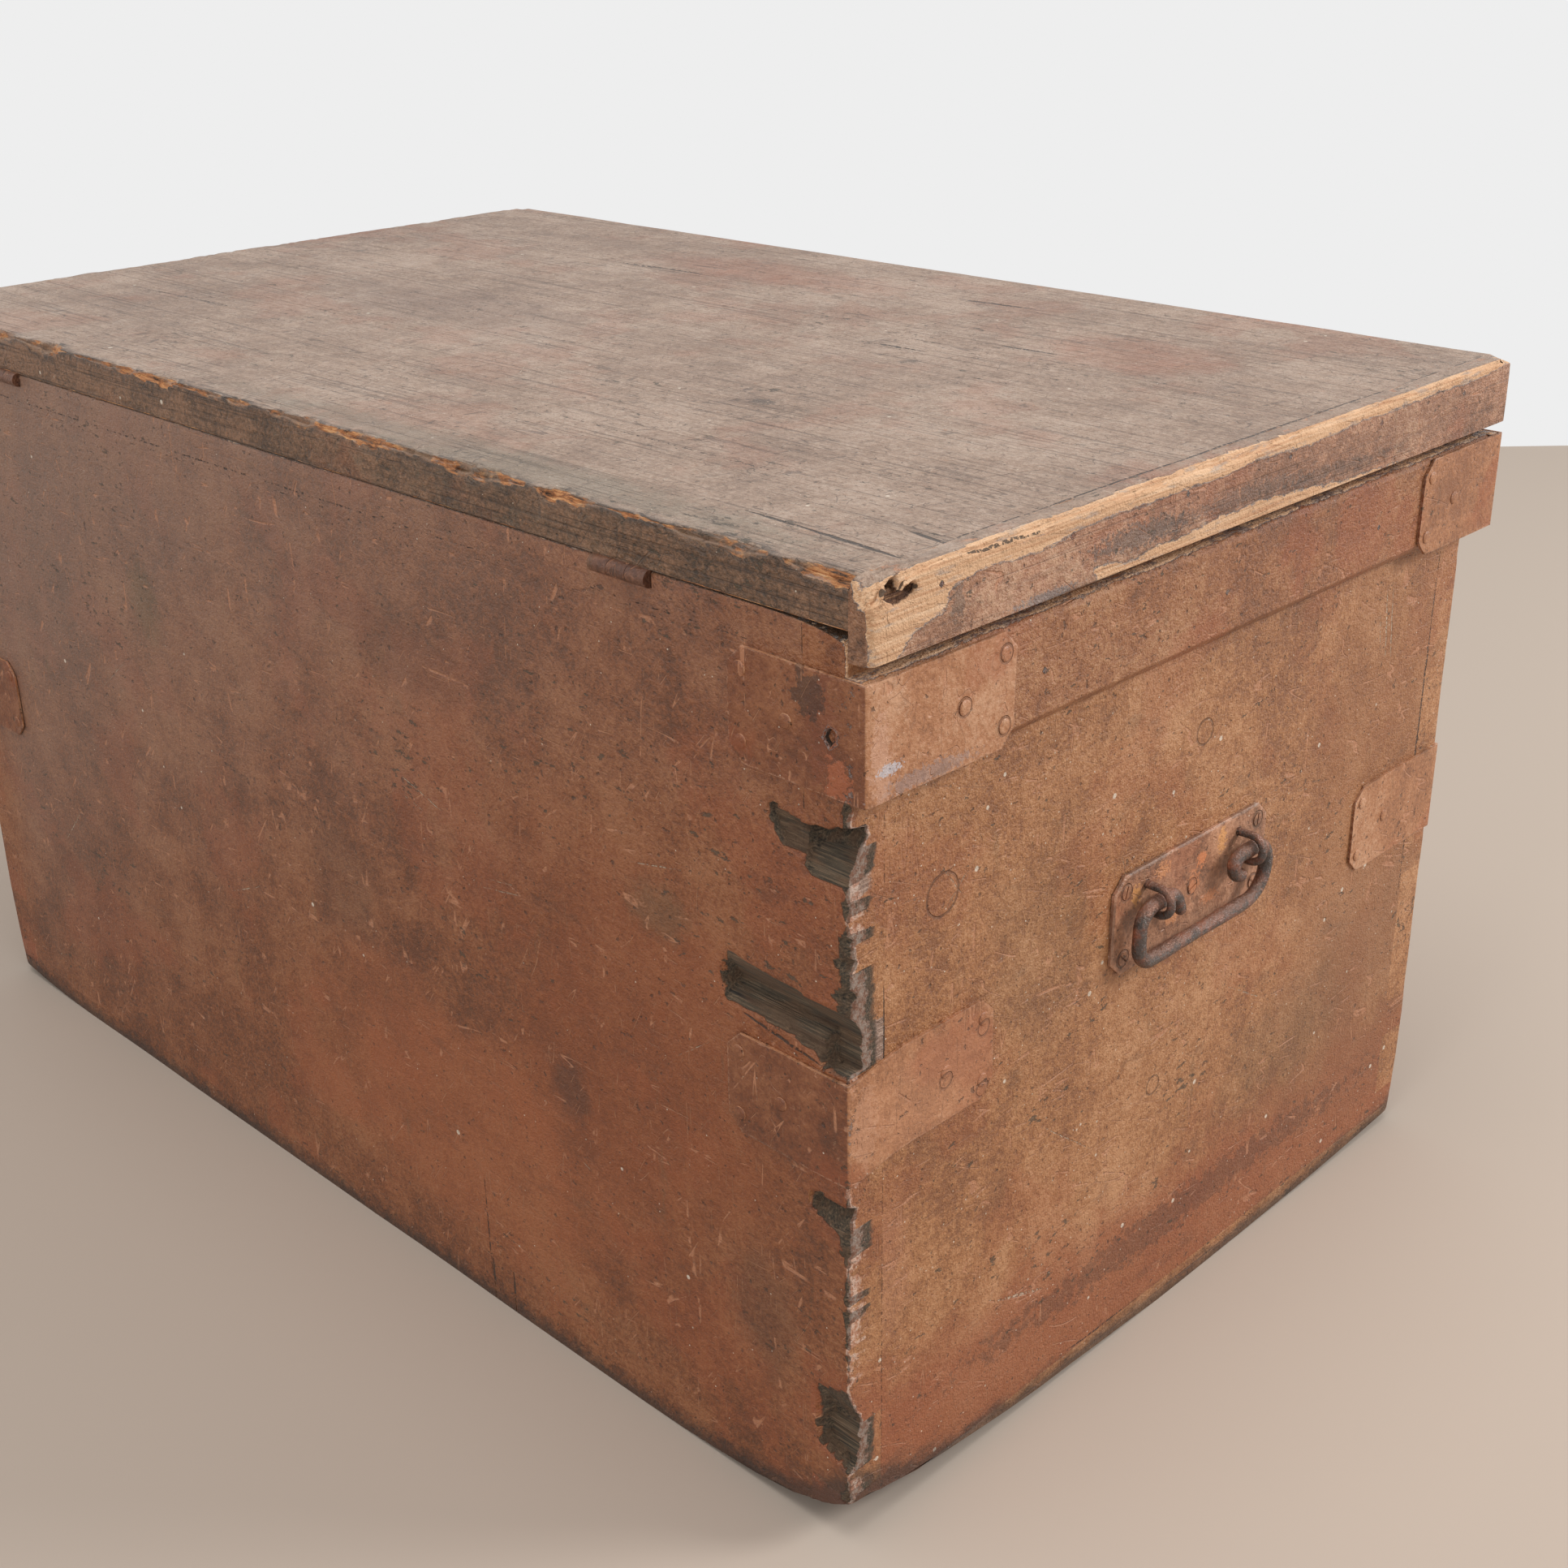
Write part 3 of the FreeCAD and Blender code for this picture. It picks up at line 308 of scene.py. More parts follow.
def worn_lid(points):
    """The lid: ragged arrises, a crumbled near corner and a slightly uneven top."""
    u, v, w = points.T
    past_end = np.minimum(u + STRIP_REACH, LENGTH + STRIP_REACH - u)
    past_front = WIDTH + STRIP_REACH + 1 - v
    near_corner = np.exp(-(u + STRIP_REACH) / 16 - np.maximum(v, 0) / 16)
    front_corners = np.exp(-np.maximum(past_end, 0) / 16 - np.maximum(past_front, 0) / 16)
    radius = (2.0 + 0.9 * wander(points, 24, 71) + 0.7 * wander(points, 6, 72)
              + 4.5 * near_corner + 5 * front_corners)
    # The box goes on below the strips, so that only the top is rounded.
    low = np.array([-STRIP_REACH, 0, LID_UNDER - 200])
    high = np.array([LENGTH + STRIP_REACH, WIDTH + STRIP_REACH + 1, LID_TOP])
    new = soften(points, low, high, np.clip(radius, 0.6, None))
    # Splinters have come off along the top arris, most of all at the back.
    along = np.stack([u + v, np.zeros_like(u), np.zeros_like(u)], -1)
    chunks = rough(along, 24, 75)
    flakes = rough(along + (0, 1, 0) * w[:, None], (5, 3, 1), 78)
    back_sum, end_sum, front_sum = [past + LID_TOP - w for past in (v, past_end, past_front)]
    back_loss = np.clip(3.6 + 5.5 * chunks + 1.6 * flakes, 0, 10) * (u > -1) * (u < LENGTH + 1)
    middle = step_up(v, 40, 80) * step_up(-v, -360, -280)
    end_loss = np.clip(2.2 + 2.4 * chunks + 1.2 * flakes + 2.5 * middle, 0, 7)
    cut = np.zeros_like(u)
    for total, loss, axis, sign in ((back_sum, back_loss, 1, 1),
                                    (end_sum, end_loss, 0, np.where(u < LENGTH / 2, 1, -1)),
                                    (front_sum, end_loss * 0.7, 1, -1)):
        depth = np.clip((loss - total) / 2, 0, None)
        new[:, axis] += sign * depth
        new[:, 2] -= depth
        cut = np.maximum(cut, depth)
    # The near corner has crumbled, the strip has a rotten hole and the top is uneven.
    flat = points * (1, 1, 0)
    corner = np.hypot((u + 13) / 13, v / 24)
    crumble = (5 + 5 * rough(flat, 5, 81)) * step_up(-corner, -1.2, -0.35)
    crumble += 2.4 * step_up(rough(flat, 7, 85), 0.15, 0.5) * step_up(-corner, -1.9, -0.8)
    hole = depth_inside(v + 1.2 * rough(points, 4, 83), w + rough(points, 4, 84), ROTTEN_HOLE)
    pit = np.clip(hole / 1.6, 0, 1) * (u < -STRIP_REACH + 1)
    new[:, 0] += 4.5 * pit
    dip = 0.35 + 0.35 * wander(points, (220, 45, 100), 87) + 0.25 * rough(points, (60, 3, 60), 88)
    near_top = step_up(w, LID_UNDER, LID_TOP)
    new[:, 2] -= (np.clip(crumble, 0, 12) + np.clip(dip, 0, 1.2)) * near_top
    edge = np.minimum(np.minimum(np.maximum(v, 0), np.maximum(past_end, 0)), np.maximum(past_front, 0))
    arris = np.exp(-(edge + np.maximum(LID_TOP - w, 0)) / 3.5)
    crumbled = np.clip(crumble / 9, 0, 0.45) * near_top
    inside = np.maximum(depth_inside(v, w, BARE_PATCH), depth_inside(v, w, LOW_PATCH))
    patch = np.where(u < -STRIP_REACH + 1.5, np.clip(0.45 + inside / 8, 0, 1), 0)
    low_arris = 0.75 * np.exp(-np.abs(w - LID_UNDER) / 1.2) * (v < 1)
    # The grime_and_shade mark: dark stains along the back arris, and painted shade along the lid's lower
    # edge over the gap to the carcass.
    stained = np.exp(-np.clip(back_sum - back_loss, 0, None) / 7) * (u > -1) * (v < 30)
    wear = 0.45 * arris + np.clip(cut, 0, 0.8) + 0.9 * patch + low_arris + crumbled * (u < -1)
    under = np.clip(np.exp(-(w - LID_UNDER) / 4), 0, 1)
    return new, {
        "broken": crumbled * (u > -1) + 0.9 * pit,
        "wear": np.clip(wear, 0, 1.3),
        "grime_and_shade": np.clip(under * 0.5 + 0.75 * stained * (cut < 0.2), 0, 1),
    }


def waved(points, *waves):
    """The points moved about by smooth noise; each wave is a height, a size and a seed."""
    new = points.copy()
    for axis in range(3):
        new[:, axis] += sum(height * wander(points, size, seed + axis) for height, size, seed in waves)
    return new


def worn_trim(points):
    """The skirt: slightly wavy, with its foot and top edge rubbed."""
    new = waved(points, (0.35, 26, 90), (0.2, 8, 93))
    new[:, 0] = np.where(points[:, 0] < 1, np.minimum(new[:, 0], -0.05), new[:, 0])
    new[:, 1] = np.maximum(new[:, 1], 0.15)
    above = points[:, 2] - STRAP_BASE
    below = np.maximum(SKIRT_HEIGHT - above, 0)
    # The grime_and_shade mark darkens the skirt along its lower edge: partly soiled paint, partly
    # painted shade.
    return new, {"wear": 0.45 * np.exp(-np.minimum(above, below) / 2.5) + 0.16 * np.exp(-below / 0.8),
                 "grime_and_shade": 0.35 * np.exp(-above / 3)}


def pulled_askew(points):
    """How far the near middle strap's arm on the end rises as it runs from the corner."""
    on_arm = (points[:, 0] < 2) & (points[:, 1] > -3) & (points[:, 1] < 125)
    low = (points[:, 2] > 200) & (points[:, 2] < 300)
    return np.where(on_arm & low, 5.2 * step_up(points[:, 1], 0, 40), 0)


def worn_nail(points):
    new = points.copy()
    new[:, 2] += pulled_askew(points)
    return new, {}


def worn_strap(points):
    """Thin iron: dented a little and pulled about by its nails; one is torn through."""
    u, v, w = points.T
    new = points.copy()
    dent = 0.3 * wander(points, 22, 101) + 0.14 * wander(points, 7, 102)
    dent = np.clip(dent + 0.1, -0.15, 0.45)
    on_end = np.minimum(v, WIDTH - v) > 1
    on_back = (u > 2) & (u < LENGTH - 2)
    new[:, 0] += np.where(on_end, dent * np.where(u < LENGTH / 2, -1, 1), 0)
    new[:, 1] += np.where(on_back, dent * np.where(v < WIDTH / 2, -1, 1), 0)
    # The torn hole is a dent marked broken; the strap's paint turns it near black, as painted shade
    # inside the hole.
    inside = depth_inside(u + rough(points, 4, 105), w + rough(points, 4, 106), TORN_HOLE)
    hole = np.clip(inside / 1.5, 0, 1) * (v < 0.5)
    lifted = np.exp(-(inside / 1.4) ** 2) * (v < 0.5)
    new[:, 1] += 2.6 * hole
    new[:, 1] -= 0.5 * lifted
    new[:, 2] += pulled_askew(points)
    fold = np.exp(-np.hypot(u + 3, v) / 9) * (u < 20)
    return new, {"wear": 0.5 * fold + 0.6 * lifted, "broken": hole}


def worn_rod(points):
    """Bails and eyes: pitted by rust."""
    return waved(points, (0.24, 8, 110), (0.12, 2.6, 113)), {}


# Making pieces.

def clean_copy(node):
    """A frame node's own solid, without the seams and triangles of its stored mesh."""
    mesh = bmesh.new()
    mesh.from_mesh(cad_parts[node].data)
    bmesh.ops.remove_doubles(mesh, verts=mesh.verts, dist=WELD)
    bmesh.ops.dissolve_limit(mesh, angle_limit=math.radians(0.5), verts=mesh.verts, edges=mesh.edges)
    return mesh


def slice_across(mesh, axis, places, reach=None):
    """Cuts across one axis at places in millimetres, but no face that goes beyond u = reach."""
    normal = Vector([float(axis == number) for number in range(3)])
    for place in places:
        at = spot(*[place if axis == number else 0 for number in range(3)])
        if reach is None:
            chosen = mesh.verts[:] + mesh.edges[:] + mesh.faces[:]
        else:
            beyond = END_FACE + (reach + 0.1) * MM
            chosen = {face for face in mesh.faces if all(vert.co.x < beyond for vert in face.verts)}
            for face in list(chosen):
                chosen.update(face.edges)
                chosen.update(face.verts)
        bmesh.ops.bisect_plane(mesh, geom=list(chosen), dist=1e-6, plane_co=at, plane_no=normal)


def every(start, stop, pitch):
    count = max(1, round((stop - start) / pitch))
    return [start + (stop - start) * number / count for number in range(count + 1)]


def near_edges(low, high):
    """Close cuts inside both ends of a span, where an arris is rounded."""
    cuts = []
    for offset in (0.7, 1.8, 3.5, 7):
        cuts += [low + offset, high - offset]
    return cuts


def rim_distances(mesh):
    """How far each point lies from the nearest sharp edge, in millimetres."""
    samples = []
    for edge in mesh.edges:
        if len(edge.link_faces) == 2 and edge.calc_face_angle() > math.radians(RIM_ANGLE):
            first, last = [vert.co for vert in edge.verts]
            pieces = max(1, round((last - first).length / (2 * MM)))
            samples += [first.lerp(last, number / pieces) for number in range(pieces + 1)]
    tree = KDTree(len(samples))
    for number, sample in enumerate(samples):
        tree.insert(sample, number)
    tree.balance()
    return np.array([tree.find(vert.co)[2] / MM for vert in mesh.verts])


def make_piece(mesh, name, body, material, wear=None, replaces=(), smooth=40, rims=False):
    """Turns a mesh into a piece that rides on a body; wear moves and marks its points.

    Faces that meet at less than smooth degrees are shaded as one; rims marks the sharp edges.
    """
    data = bpy.data.meshes.new(name)
    bmesh.ops.recalc_face_normals(mesh, faces=mesh.faces)
    marks = {}
    if rims:
        marks["rim"] = np.clip(1 - rim_distances(mesh) / RIM_REACH, 0, 1)
    mesh.to_mesh(data)
    mesh.free()
    if wear:
        flat = np.zeros(len(data.vertices) * 3)
        data.vertices.foreach_get("co", flat)
        points, worn_marks = wear(to_measure(flat.reshape(-1, 3)))
        kept = np.clip(from_measure(points), np.array(cad_box[0]), np.array(cad_box[1]))
        data.vertices.foreach_set("co", kept.ravel())
        marks.update(worn_marks)
    for label, values in marks.items():
        layer = data.attributes.new(label, "FLOAT", "POINT")
        layer.data.foreach_set("value", values.astype(np.float32))
    data.shade_smooth()
    data.set_sharp_from_angle(angle=math.radians(smooth))
    data.update()
    piece = bpy.data.objects.new(name, data)
    bpy.context.scene.collection.objects.link(piece)
    piece.data.materials.append(material)
    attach(piece, body)
    if replaces:
        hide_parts(*replaces)


# The bent rods of the handles: lengths and radii in millimetres, turns in degrees.

BAIL_DROP, BAIL_TOP_BEND = 33, 12
STUB_FOOT_BEND, HOOK_FOOT_BEND = 11, 18
BAIL_STUB, BAIL_HOOK, BAIL_HOOK_BEND = 15, 35, 6.5
STUB_TIP, STUB_BEND, STUB_TURN = 12, 9, 62
HOOK_TIP, HOOK_TURN = 5, 168
EYE_WIRE, CLENCH_BEND, CLENCH_LENGTH = 2.5, 4, 14


class RodPath:
    """A bent rod's centre line in one plane: straight runs and bends, as close points."""

    def __init__(self, start, heading):
        self.points = [Vector(start)]
        self.heading = math.radians(heading)

    def step(self, length):
        ahead = Vector((math.cos(self.heading), math.sin(self.heading)))
        self.points.append(self.points[-1] + ahead * length)

    def run(self, length):
        count = max(1, round(length / 2.5))
        for _ in range(count):
            self.step(length / count)

    def bend(self, radius, turn):
        count = max(2, round(abs(turn) / 11))
        part = math.radians(turn) / count
        for _ in range(count):
            self.heading += part / 2
            self.step(2 * radius * math.sin(abs(part) / 2))
            self.heading += part / 2


def join_rings(mesh, previous, ring):
    """Skins a ring of points to the one before it, or caps it if it is the first."""
    if previous:
        for step in range(len(ring)):
            mesh.faces.new((previous[step - 1], previous[step], ring[step], ring[step - 1]))
    else:
        mesh.faces.new(ring[::-1])


def sweep(mesh, line, square, radius_at, sides=16):
    """A round rod along a line of places in metres; square is the direction across its plane."""
    lengths = [0.0]
    for first, last in zip(line, line[1:]):
        lengths.append(lengths[-1] + (last - first).length / MM)
    previous = None
    for number, place in enumerate(line):
        before, after = line[max(number - 1, 0)], line[min(number + 1, len(line) - 1)]
        other = (after - before).normalized().cross(square)
        radius = radius_at(lengths[number], lengths[-1]) * MM
        ring = []
        for step in range(sides):
            angle = math.tau * step / sides
            outward = square * math.cos(angle) + other * math.sin(angle)
            ring.append(mesh.verts.new(place + outward * radius))
        join_rings(mesh, previous, ring)
        previous = ring
    mesh.faces.new(previous)


def domed_end(radius, away):
    """The radius of a rod at a distance from its rounded end."""
    return radius * math.sqrt(max(0.06, 1 - (1 - min(away / radius, 1)) ** 2))


def bail_rod(end):
    """A bail: a tapered stub at one end, a hooked tip at the other."""
    low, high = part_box(end + "_bail")
    radius = (high.x - low.x) / 2 / MM
    sign = 1 if end == "left" else -1
    foot = low.z / MM + radius
    pivot = foot + BAIL_DROP
    half = (high.y - low.y) / 2 / MM - radius
    stub = RodPath((0, 0), STUB_TURN)
    stub.run(STUB_TIP)
    stub.bend(STUB_BEND, -STUB_TURN)
    shift = Vector((BAIL_STUB + STUB_TIP + STUB_BEND, pivot)) - stub.points[-1]
    line = RodPath((0, 0), 0)
    line.points = [place + shift for place in stub.points]
    line.run(half - BAIL_TOP_BEND - line.points[-1].x)
    for bend, run in ((BAIL_TOP_BEND, BAIL_DROP - BAIL_TOP_BEND - STUB_FOOT_BEND),
                      (STUB_FOOT_BEND, 2 * half - STUB_FOOT_BEND - HOOK_FOOT_BEND),
                      (HOOK_FOOT_BEND, BAIL_DROP - BAIL_TOP_BEND - HOOK_FOOT_BEND),
                      (BAIL_TOP_BEND, half - BAIL_TOP_BEND - BAIL_HOOK)):
        line.bend(bend, -90)
        line.run(run)
    line.bend(BAIL_HOOK_BEND, -HOOK_TURN)
    line.run(HOOK_TIP)
    centre_x = (low.x + high.x) / 2
    places = [Vector((centre_x, sign * across * MM, up * MM)) for across, up in line.points]

    def radius_at(along, total):
        worn = radius * (0.8 + 0.2 * min(along / 18, 1)) * (0.96 + 0.05 * math.sin(along / 11))
        return min(domed_end(worn, along), domed_end(radius, total - along))

    mesh = bmesh.new()
    sweep(mesh, places, Vector((1, 0, 0)), radius_at)
    return mesh


def eye_wires():
    """The four wire eyes: staples clenched over behind the boards."""
    low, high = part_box("handle_eyes")
    bail_low, bail_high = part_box("left_bail")
    pivot_x = (bail_low.x + bail_high.x) / 2
    pivot_z = bail_low.z + (bail_high.x - bail_low.x) / 2 + BAIL_DROP * MM
    bend_reach = (pivot_x - low.x) / MM - EYE_WIRE
    mesh = bmesh.new()
    for sign in (-1, 1):
        for place in (-1, 1):
            across = place * ((high.y - low.y) / 2 / MM - EYE_WIRE)
            inner = -(END_FACE / MM + END_THICK) - EYE_WIRE
            leg = -pivot_x / MM - inner - CLENCH_BEND
            line = RodPath((-inner, pivot_z / MM + bend_reach + CLENCH_BEND + CLENCH_LENGTH), -90)
            line.run(CLENCH_LENGTH)
            line.bend(CLENCH_BEND, -90)
            line.run(leg)
            line.bend(bend_reach, 180)
            line.run(leg)
            line.bend(CLENCH_BEND, -90)
            line.run(CLENCH_LENGTH)
            points = [Vector((sign * at.x * MM, across * MM, at.y * MM)) for at in line.points]
            sweep(mesh, points, Vector((0, 1, 0)),
                  lambda along, total: EYE_WIRE * (0.94 if 30 < along < total - 30 else 1), 12)
    return mesh


def islands(mesh):
    """The separate solids of a mesh, each as its lowest and highest corner."""
    seen = set()
    found = []
    for first in mesh.verts:
        if first in seen:
            continue
        seen.add(first)
        group, queue = [], [first]
        while queue:
            vert = queue.pop()
            group.append(vert.co.copy())
            for edge in vert.link_edges:
                other = edge.other_vert(vert)
                if other not in seen:
                    seen.add(other)
                    queue.append(other)
        low = Vector([min(place[axis] for place in group) for axis in range(3)])
        high = Vector([max(place[axis] for place in group) for axis in range(3)])
        found.append((low, high))
    return found


def head_places(node):
    """Centre of the outer end, outward direction and radius of each nail or screw of a node."""
    mesh = clean_copy(node)
    heads = []
    for low, high in islands(mesh):
        middle = (low + high) / 2
        size = high - low
        axis = max(range(3), key=lambda number: size[number])
        side = 1 if middle[axis] > (0.3 if axis == 2 else 0) else -1
        outward = Vector((0, 0, 0))
        outward[axis] = side
        centre = middle.copy()
        centre[axis] = high[axis] if side > 0 else low[axis]
        heads.append((centre, outward, sorted(size)[1] / 2))
    mesh.free()
    return sorted(heads, key=lambda head: tuple(head[0]))


def frame_around(outward):
    """Two directions square to outward."""
    up = Vector((0, 0, 1)) if abs(outward.z) < 0.5 else Vector((0, 1, 0))
    across = outward.cross(up).normalized()
    return across, across.cross(outward)


def domed_head(mesh, centre, outward, radius, height, number):
    """An irregular hand-made nail head: rings of points that rise to a crown."""
    across, up = frame_around(outward)
    crown = mesh.verts.new(centre + outward * height * 0.12)
    previous = None
    for share, rise in ((1.0, -1.7), (1.0, -0.75), (0.94, -0.38), (0.74, -0.1), (0.42, 0.05)):
        ring = []
        for step in range(16):
            angle = math.tau * step / 16
            at = np.array([[math.cos(angle) * 2, math.sin(angle) * 2, number * 7.0]])
            reach = radius * share * (1 + 0.07 * float(wander(at, 1.3, 5)[0]))
            lift = height * (rise + 0.1 * float(wander(at, 0.9, 6)[0]) * (rise > -1))
            place = centre + outward * lift + (across * math.cos(angle) + up * math.sin(angle)) * reach
            ring.append(mesh.verts.new(place))
        join_rings(mesh, previous, ring)
        previous = ring
    for step in range(16):
        mesh.faces.new((previous[step - 1], previous[step], crown))


def extrude(part, faces, height):
    """Moves faces up by a height in millimetres and leaves walls behind them."""
    for item in bmesh.ops.extrude_face_region(part, geom=faces)["geom"]:
        if isinstance(item, bmesh.types.BMVert):
            item.co.z += height * MM


def slotted_head(mesh, centre, outward, radius, turn):
    """A flat screw head with a bevelled rim and a filed slot."""
    across, up = frame_around(outward)
    part = bmesh.new()
    base = bmesh.ops.create_circle(part, cap_ends=True, segments=24, radius=radius * 0.9)["verts"]
    extrude(part, part.faces[:], SCREW_RISE)
    for vert in base:
        vert.co *= 1.1
        vert.co.z = -SCREW_SINK * MM
    half_slot = 0.11 * radius
    for side in (-1, 1):
        bmesh.ops.bisect_plane(part, geom=part.verts[:] + part.edges[:] + part.faces[:], dist=1e-7,
                               plane_co=(0, side * half_slot, 0), plane_no=(0, 1, 0))
    floor = [face for face in part.faces
             if face.normal.z > 0.9 and abs(face.calc_center_median().y) < half_slot]
    extrude(part, floor, -SCREW_RISE)
    bmesh.ops.delete(part, geom=[face for face in floor if face.is_valid], context="FACES_ONLY")
    turned = Matrix((across, up, outward)).transposed().to_4x4() @ Matrix.Rotation(turn, 4, "Z")
    part.transform(Matrix.Translation(centre) @ turned)
    copy = bpy.data.meshes.new("head")
    part.to_mesh(copy)
    part.free()
    mesh.from_mesh(copy)
    bpy.data.meshes.remove(copy)


# Nodes of the materials.

class Nodes:
    """Short calls that add one node each and give its output."""

    def __init__(self, tree):
        self.tree = tree

    def add(self, kind, inputs=None, output=0, **settings):
        node = self.tree.nodes.new("ShaderNode" + kind)
        for name, value in settings.items():
            setattr(node, name, value)
        for key, value in (inputs or {}).items():
            if isinstance(value, bpy.types.NodeSocket):
                self.tree.links.new(value, node.inputs[key])
            else:
                node.inputs[key].default_value = value
        return node.outputs[output] if node.outputs else None

    def math(self, operation, first, second=0.0, clamp=False):
        return self.add("Math", {0: first, 1: second}, operation=operation, use_clamp=clamp)

    def times(self, first, second):
        return self.math("MULTIPLY", first, second)

    def plus(self, first, second, clamp=False):
        return self.math("ADD", first, second, clamp)

    def minus(self, first, second):
        return self.math("SUBTRACT", first, second)

    def more(self, total, value, share):
        """The total with a share of value added."""
        return self.plus(total, self.times(value, share))

    def less(self, total, value, share):
        return self.minus(total, self.times(value, share))

    def strongest(self, total, value):
        return value if total is None else self.math("MAXIMUM", total, value)

    def tint(self, colour, tint, share, strength):
        """The colour moved towards a tint by share times strength."""
        return self.mix(self.times(share, strength), colour, tint)

    def vector(self, operation, first, second=(0, 0, 0), output=0):
        return self.add("VectorMath", {0: first, 1: second}, output, operation=operation)

    def mix(self, share, first, second):
        return self.add("Mix", {"Factor": share, 6: first, 7: second}, 2, data_type="RGBA")

    def noise(self, place, size, detail=3.0, roughness=0.55, seed=0.0):
        """Noise from 0 to 1; size is in millimetres, one number for each axis."""
        scaled = self.vector("DIVIDE", place, size if isinstance(size, tuple) else (size,) * 3)
        moved = self.vector("ADD", scaled, (seed * 17.3, seed * 5.1, seed * 9.7))
        return self.add("TexNoise", {"Vector": moved, "Scale": 1.0, "Detail": detail,
                                     "Roughness": roughness})

    def band(self, value, low, high):
        """0 below low and 1 above high; the other way round if low is above high."""
        return self.add("MapRange", {"Value": value, "From Min": low, "From Max": high},
                        interpolation_type="SMOOTHSTEP")

    def ramp(self, value, places, colours):
        node = self.tree.nodes.new("ShaderNodeValToRGB")
        self.tree.links.new(value, node.inputs[0])
        elements = node.color_ramp.elements
        while len(elements) < len(places):
            elements.new(0.5)
        for element, place, colour in zip(elements, places, colours):
            element.position = place
            element.color = colour
        return node.outputs[0]

    def mark(self, label):
        return self.add("Attribute", output=2, attribute_name=label)


def tone(red, green, blue):
    """A colour as seen on screen, 0 to 255, made linear for the shader."""
    linear = []
    for value in (red, green, blue):
        share = value / 255
        linear.append(share / 12.92 if share < 0.04045 else ((share + 0.055) / 1.055) ** 2.4)
    return (*linear, 1.0)


BARE_LIGHT = tone(228, 190, 154)
BARE_WARM = tone(178, 126, 90)
BARE_MIDDLE = tone(211, 167, 128)
PRIMER = tone(138, 138, 138)
GRIME_AND_SHADE = tone(44, 36, 31)
OLD_DARK = tone(42, 36, 31)
OLD_MID = tone(92, 80, 64)
OLD_PALE = tone(150, 124, 98)
SPECK = tone(226, 214, 196)
RUST = tone(120, 64, 40)
PINK = tone(192, 134, 100)
CHIPPED = tone(66, 58, 44)
DARK_PRIMER = tone(86, 74, 62)
PALE_SMEAR = tone(150, 144, 140)
WEATHERED = tone(120, 86, 60)
PALE_SCRATCH = tone(208, 188, 164)
RUBBED = (tone(186, 130, 104), tone(222, 196, 180))
SCUFFED = (tone(104, 84, 74), tone(150, 126, 112), tone(188, 164, 150))


def stroke_group():
    """A group that marks a straight scratch or crack between two places."""
    tree = bpy.data.node_groups.new("stroke", "ShaderNodeTree")
    for name, kind in (("Place", "Vector"), ("Start", "Vector"), ("Stop", "Vector"),
                       ("Width", "Float"), ("Broken", "Float")):
        tree.interface.new_socket(name, in_out="INPUT", socket_type="NodeSocket" + kind)
    tree.interface.new_socket("Mark", in_out="OUTPUT", socket_type="NodeSocketFloat")
    given = tree.nodes.new("NodeGroupInput").outputs
    result = tree.nodes.new("NodeGroupOutput")
    n = Nodes(tree)
    bent = n.add("TexNoise", {"Vector": n.vector("DIVIDE", given["Place"], (9, 9, 9)), "Scale": 1.0,
                              "Detail": 2.0}, 1)
    sway = n.vector("MULTIPLY", n.vector("SUBTRACT", bent, (0.5, 0.5, 0.5)), (1.6, 1.6, 1.6))
    along = n.vector("SUBTRACT", given["Stop"], given["Start"])
    from_start = n.vector("SUBTRACT", n.vector("ADD", given["Place"], sway), given["Start"])
    reach = n.math("DIVIDE", n.vector("DOT_PRODUCT", from_start, along, 1),
                   n.vector("DOT_PRODUCT", along, along, 1), clamp=True)
    scaled = n.add("VectorMath", {0: along, "Scale": reach}, operation="SCALE")
    off = n.vector("LENGTH", n.vector("SUBTRACT", from_start, scaled), output=1)
    # It thins out at both ends and breaks up with fine noise.
    taper = n.times(n.minus(1.0, reach), reach)
    width = n.times(given["Width"], n.plus(0.6, n.times(taper, 3.0)))
    fine = n.noise(given["Place"], 2.2, 2.0, seed=3.0)
    line = n.band(n.minus(width, off), 0.0, 0.35)
    gaps = n.band(n.minus(fine, given["Broken"]), 0.0, 0.12)
    tree.links.new(n.times(line, gaps), result.inputs["Mark"])
    return tree


STROKE = stroke_group()


def strokes(n, place, marks):
    """The strongest of several strokes; each is a start, a stop, a width and how broken it is."""
    total = None
    for start, stop, width, broken in marks:
        drawn = n.add("Group", {"Place": place, "Start": start, "Stop": stop, "Width": width,
                                "Broken": broken}, node_tree=STROKE)
        total = n.strongest(total, drawn)
    return total


def stretched(grain, along, across):
    """A noise size drawn out along the grain's axis."""
    return tuple(along if axis == grain else across for axis in "xyz")


def ring_mark(n, place, centre, radius, width):
    """A thin ring drawn on an end or a side, around a plug or a nail."""
    away = n.vector("SUBTRACT", n.vector("ADD", place, (0.36, 0, 0)), centre)
    off = n.vector("LENGTH", n.vector("MULTIPLY", away, (0.05, 1, 1)), output=1)
    wobble = n.times(n.minus(n.noise(place, 6.0, 2.0), 0.5), 1.2)
    away = n.math("ABSOLUTE", n.minus(n.plus(off, wobble), radius))
    return n.band(away, width, width * 0.4)


def region(n, place, centre, size):
    """1 inside a soft blotch around a place, 0 outside; size is its reach by axis."""
    away = n.vector("DIVIDE", n.vector("SUBTRACT", place, centre), size)
    reach = n.vector("LENGTH", away, output=1)
    noise = n.noise(place, max(1.5, min(size) * 0.45), 4.0, 0.65, 21.0)
    small = min(size) < 15
    spread = n.times(n.minus(noise, 0.5), 3.2 if small else 1.2)
    return n.band(n.plus(reach, spread), 0.95, 0.75 if small else 0.35)


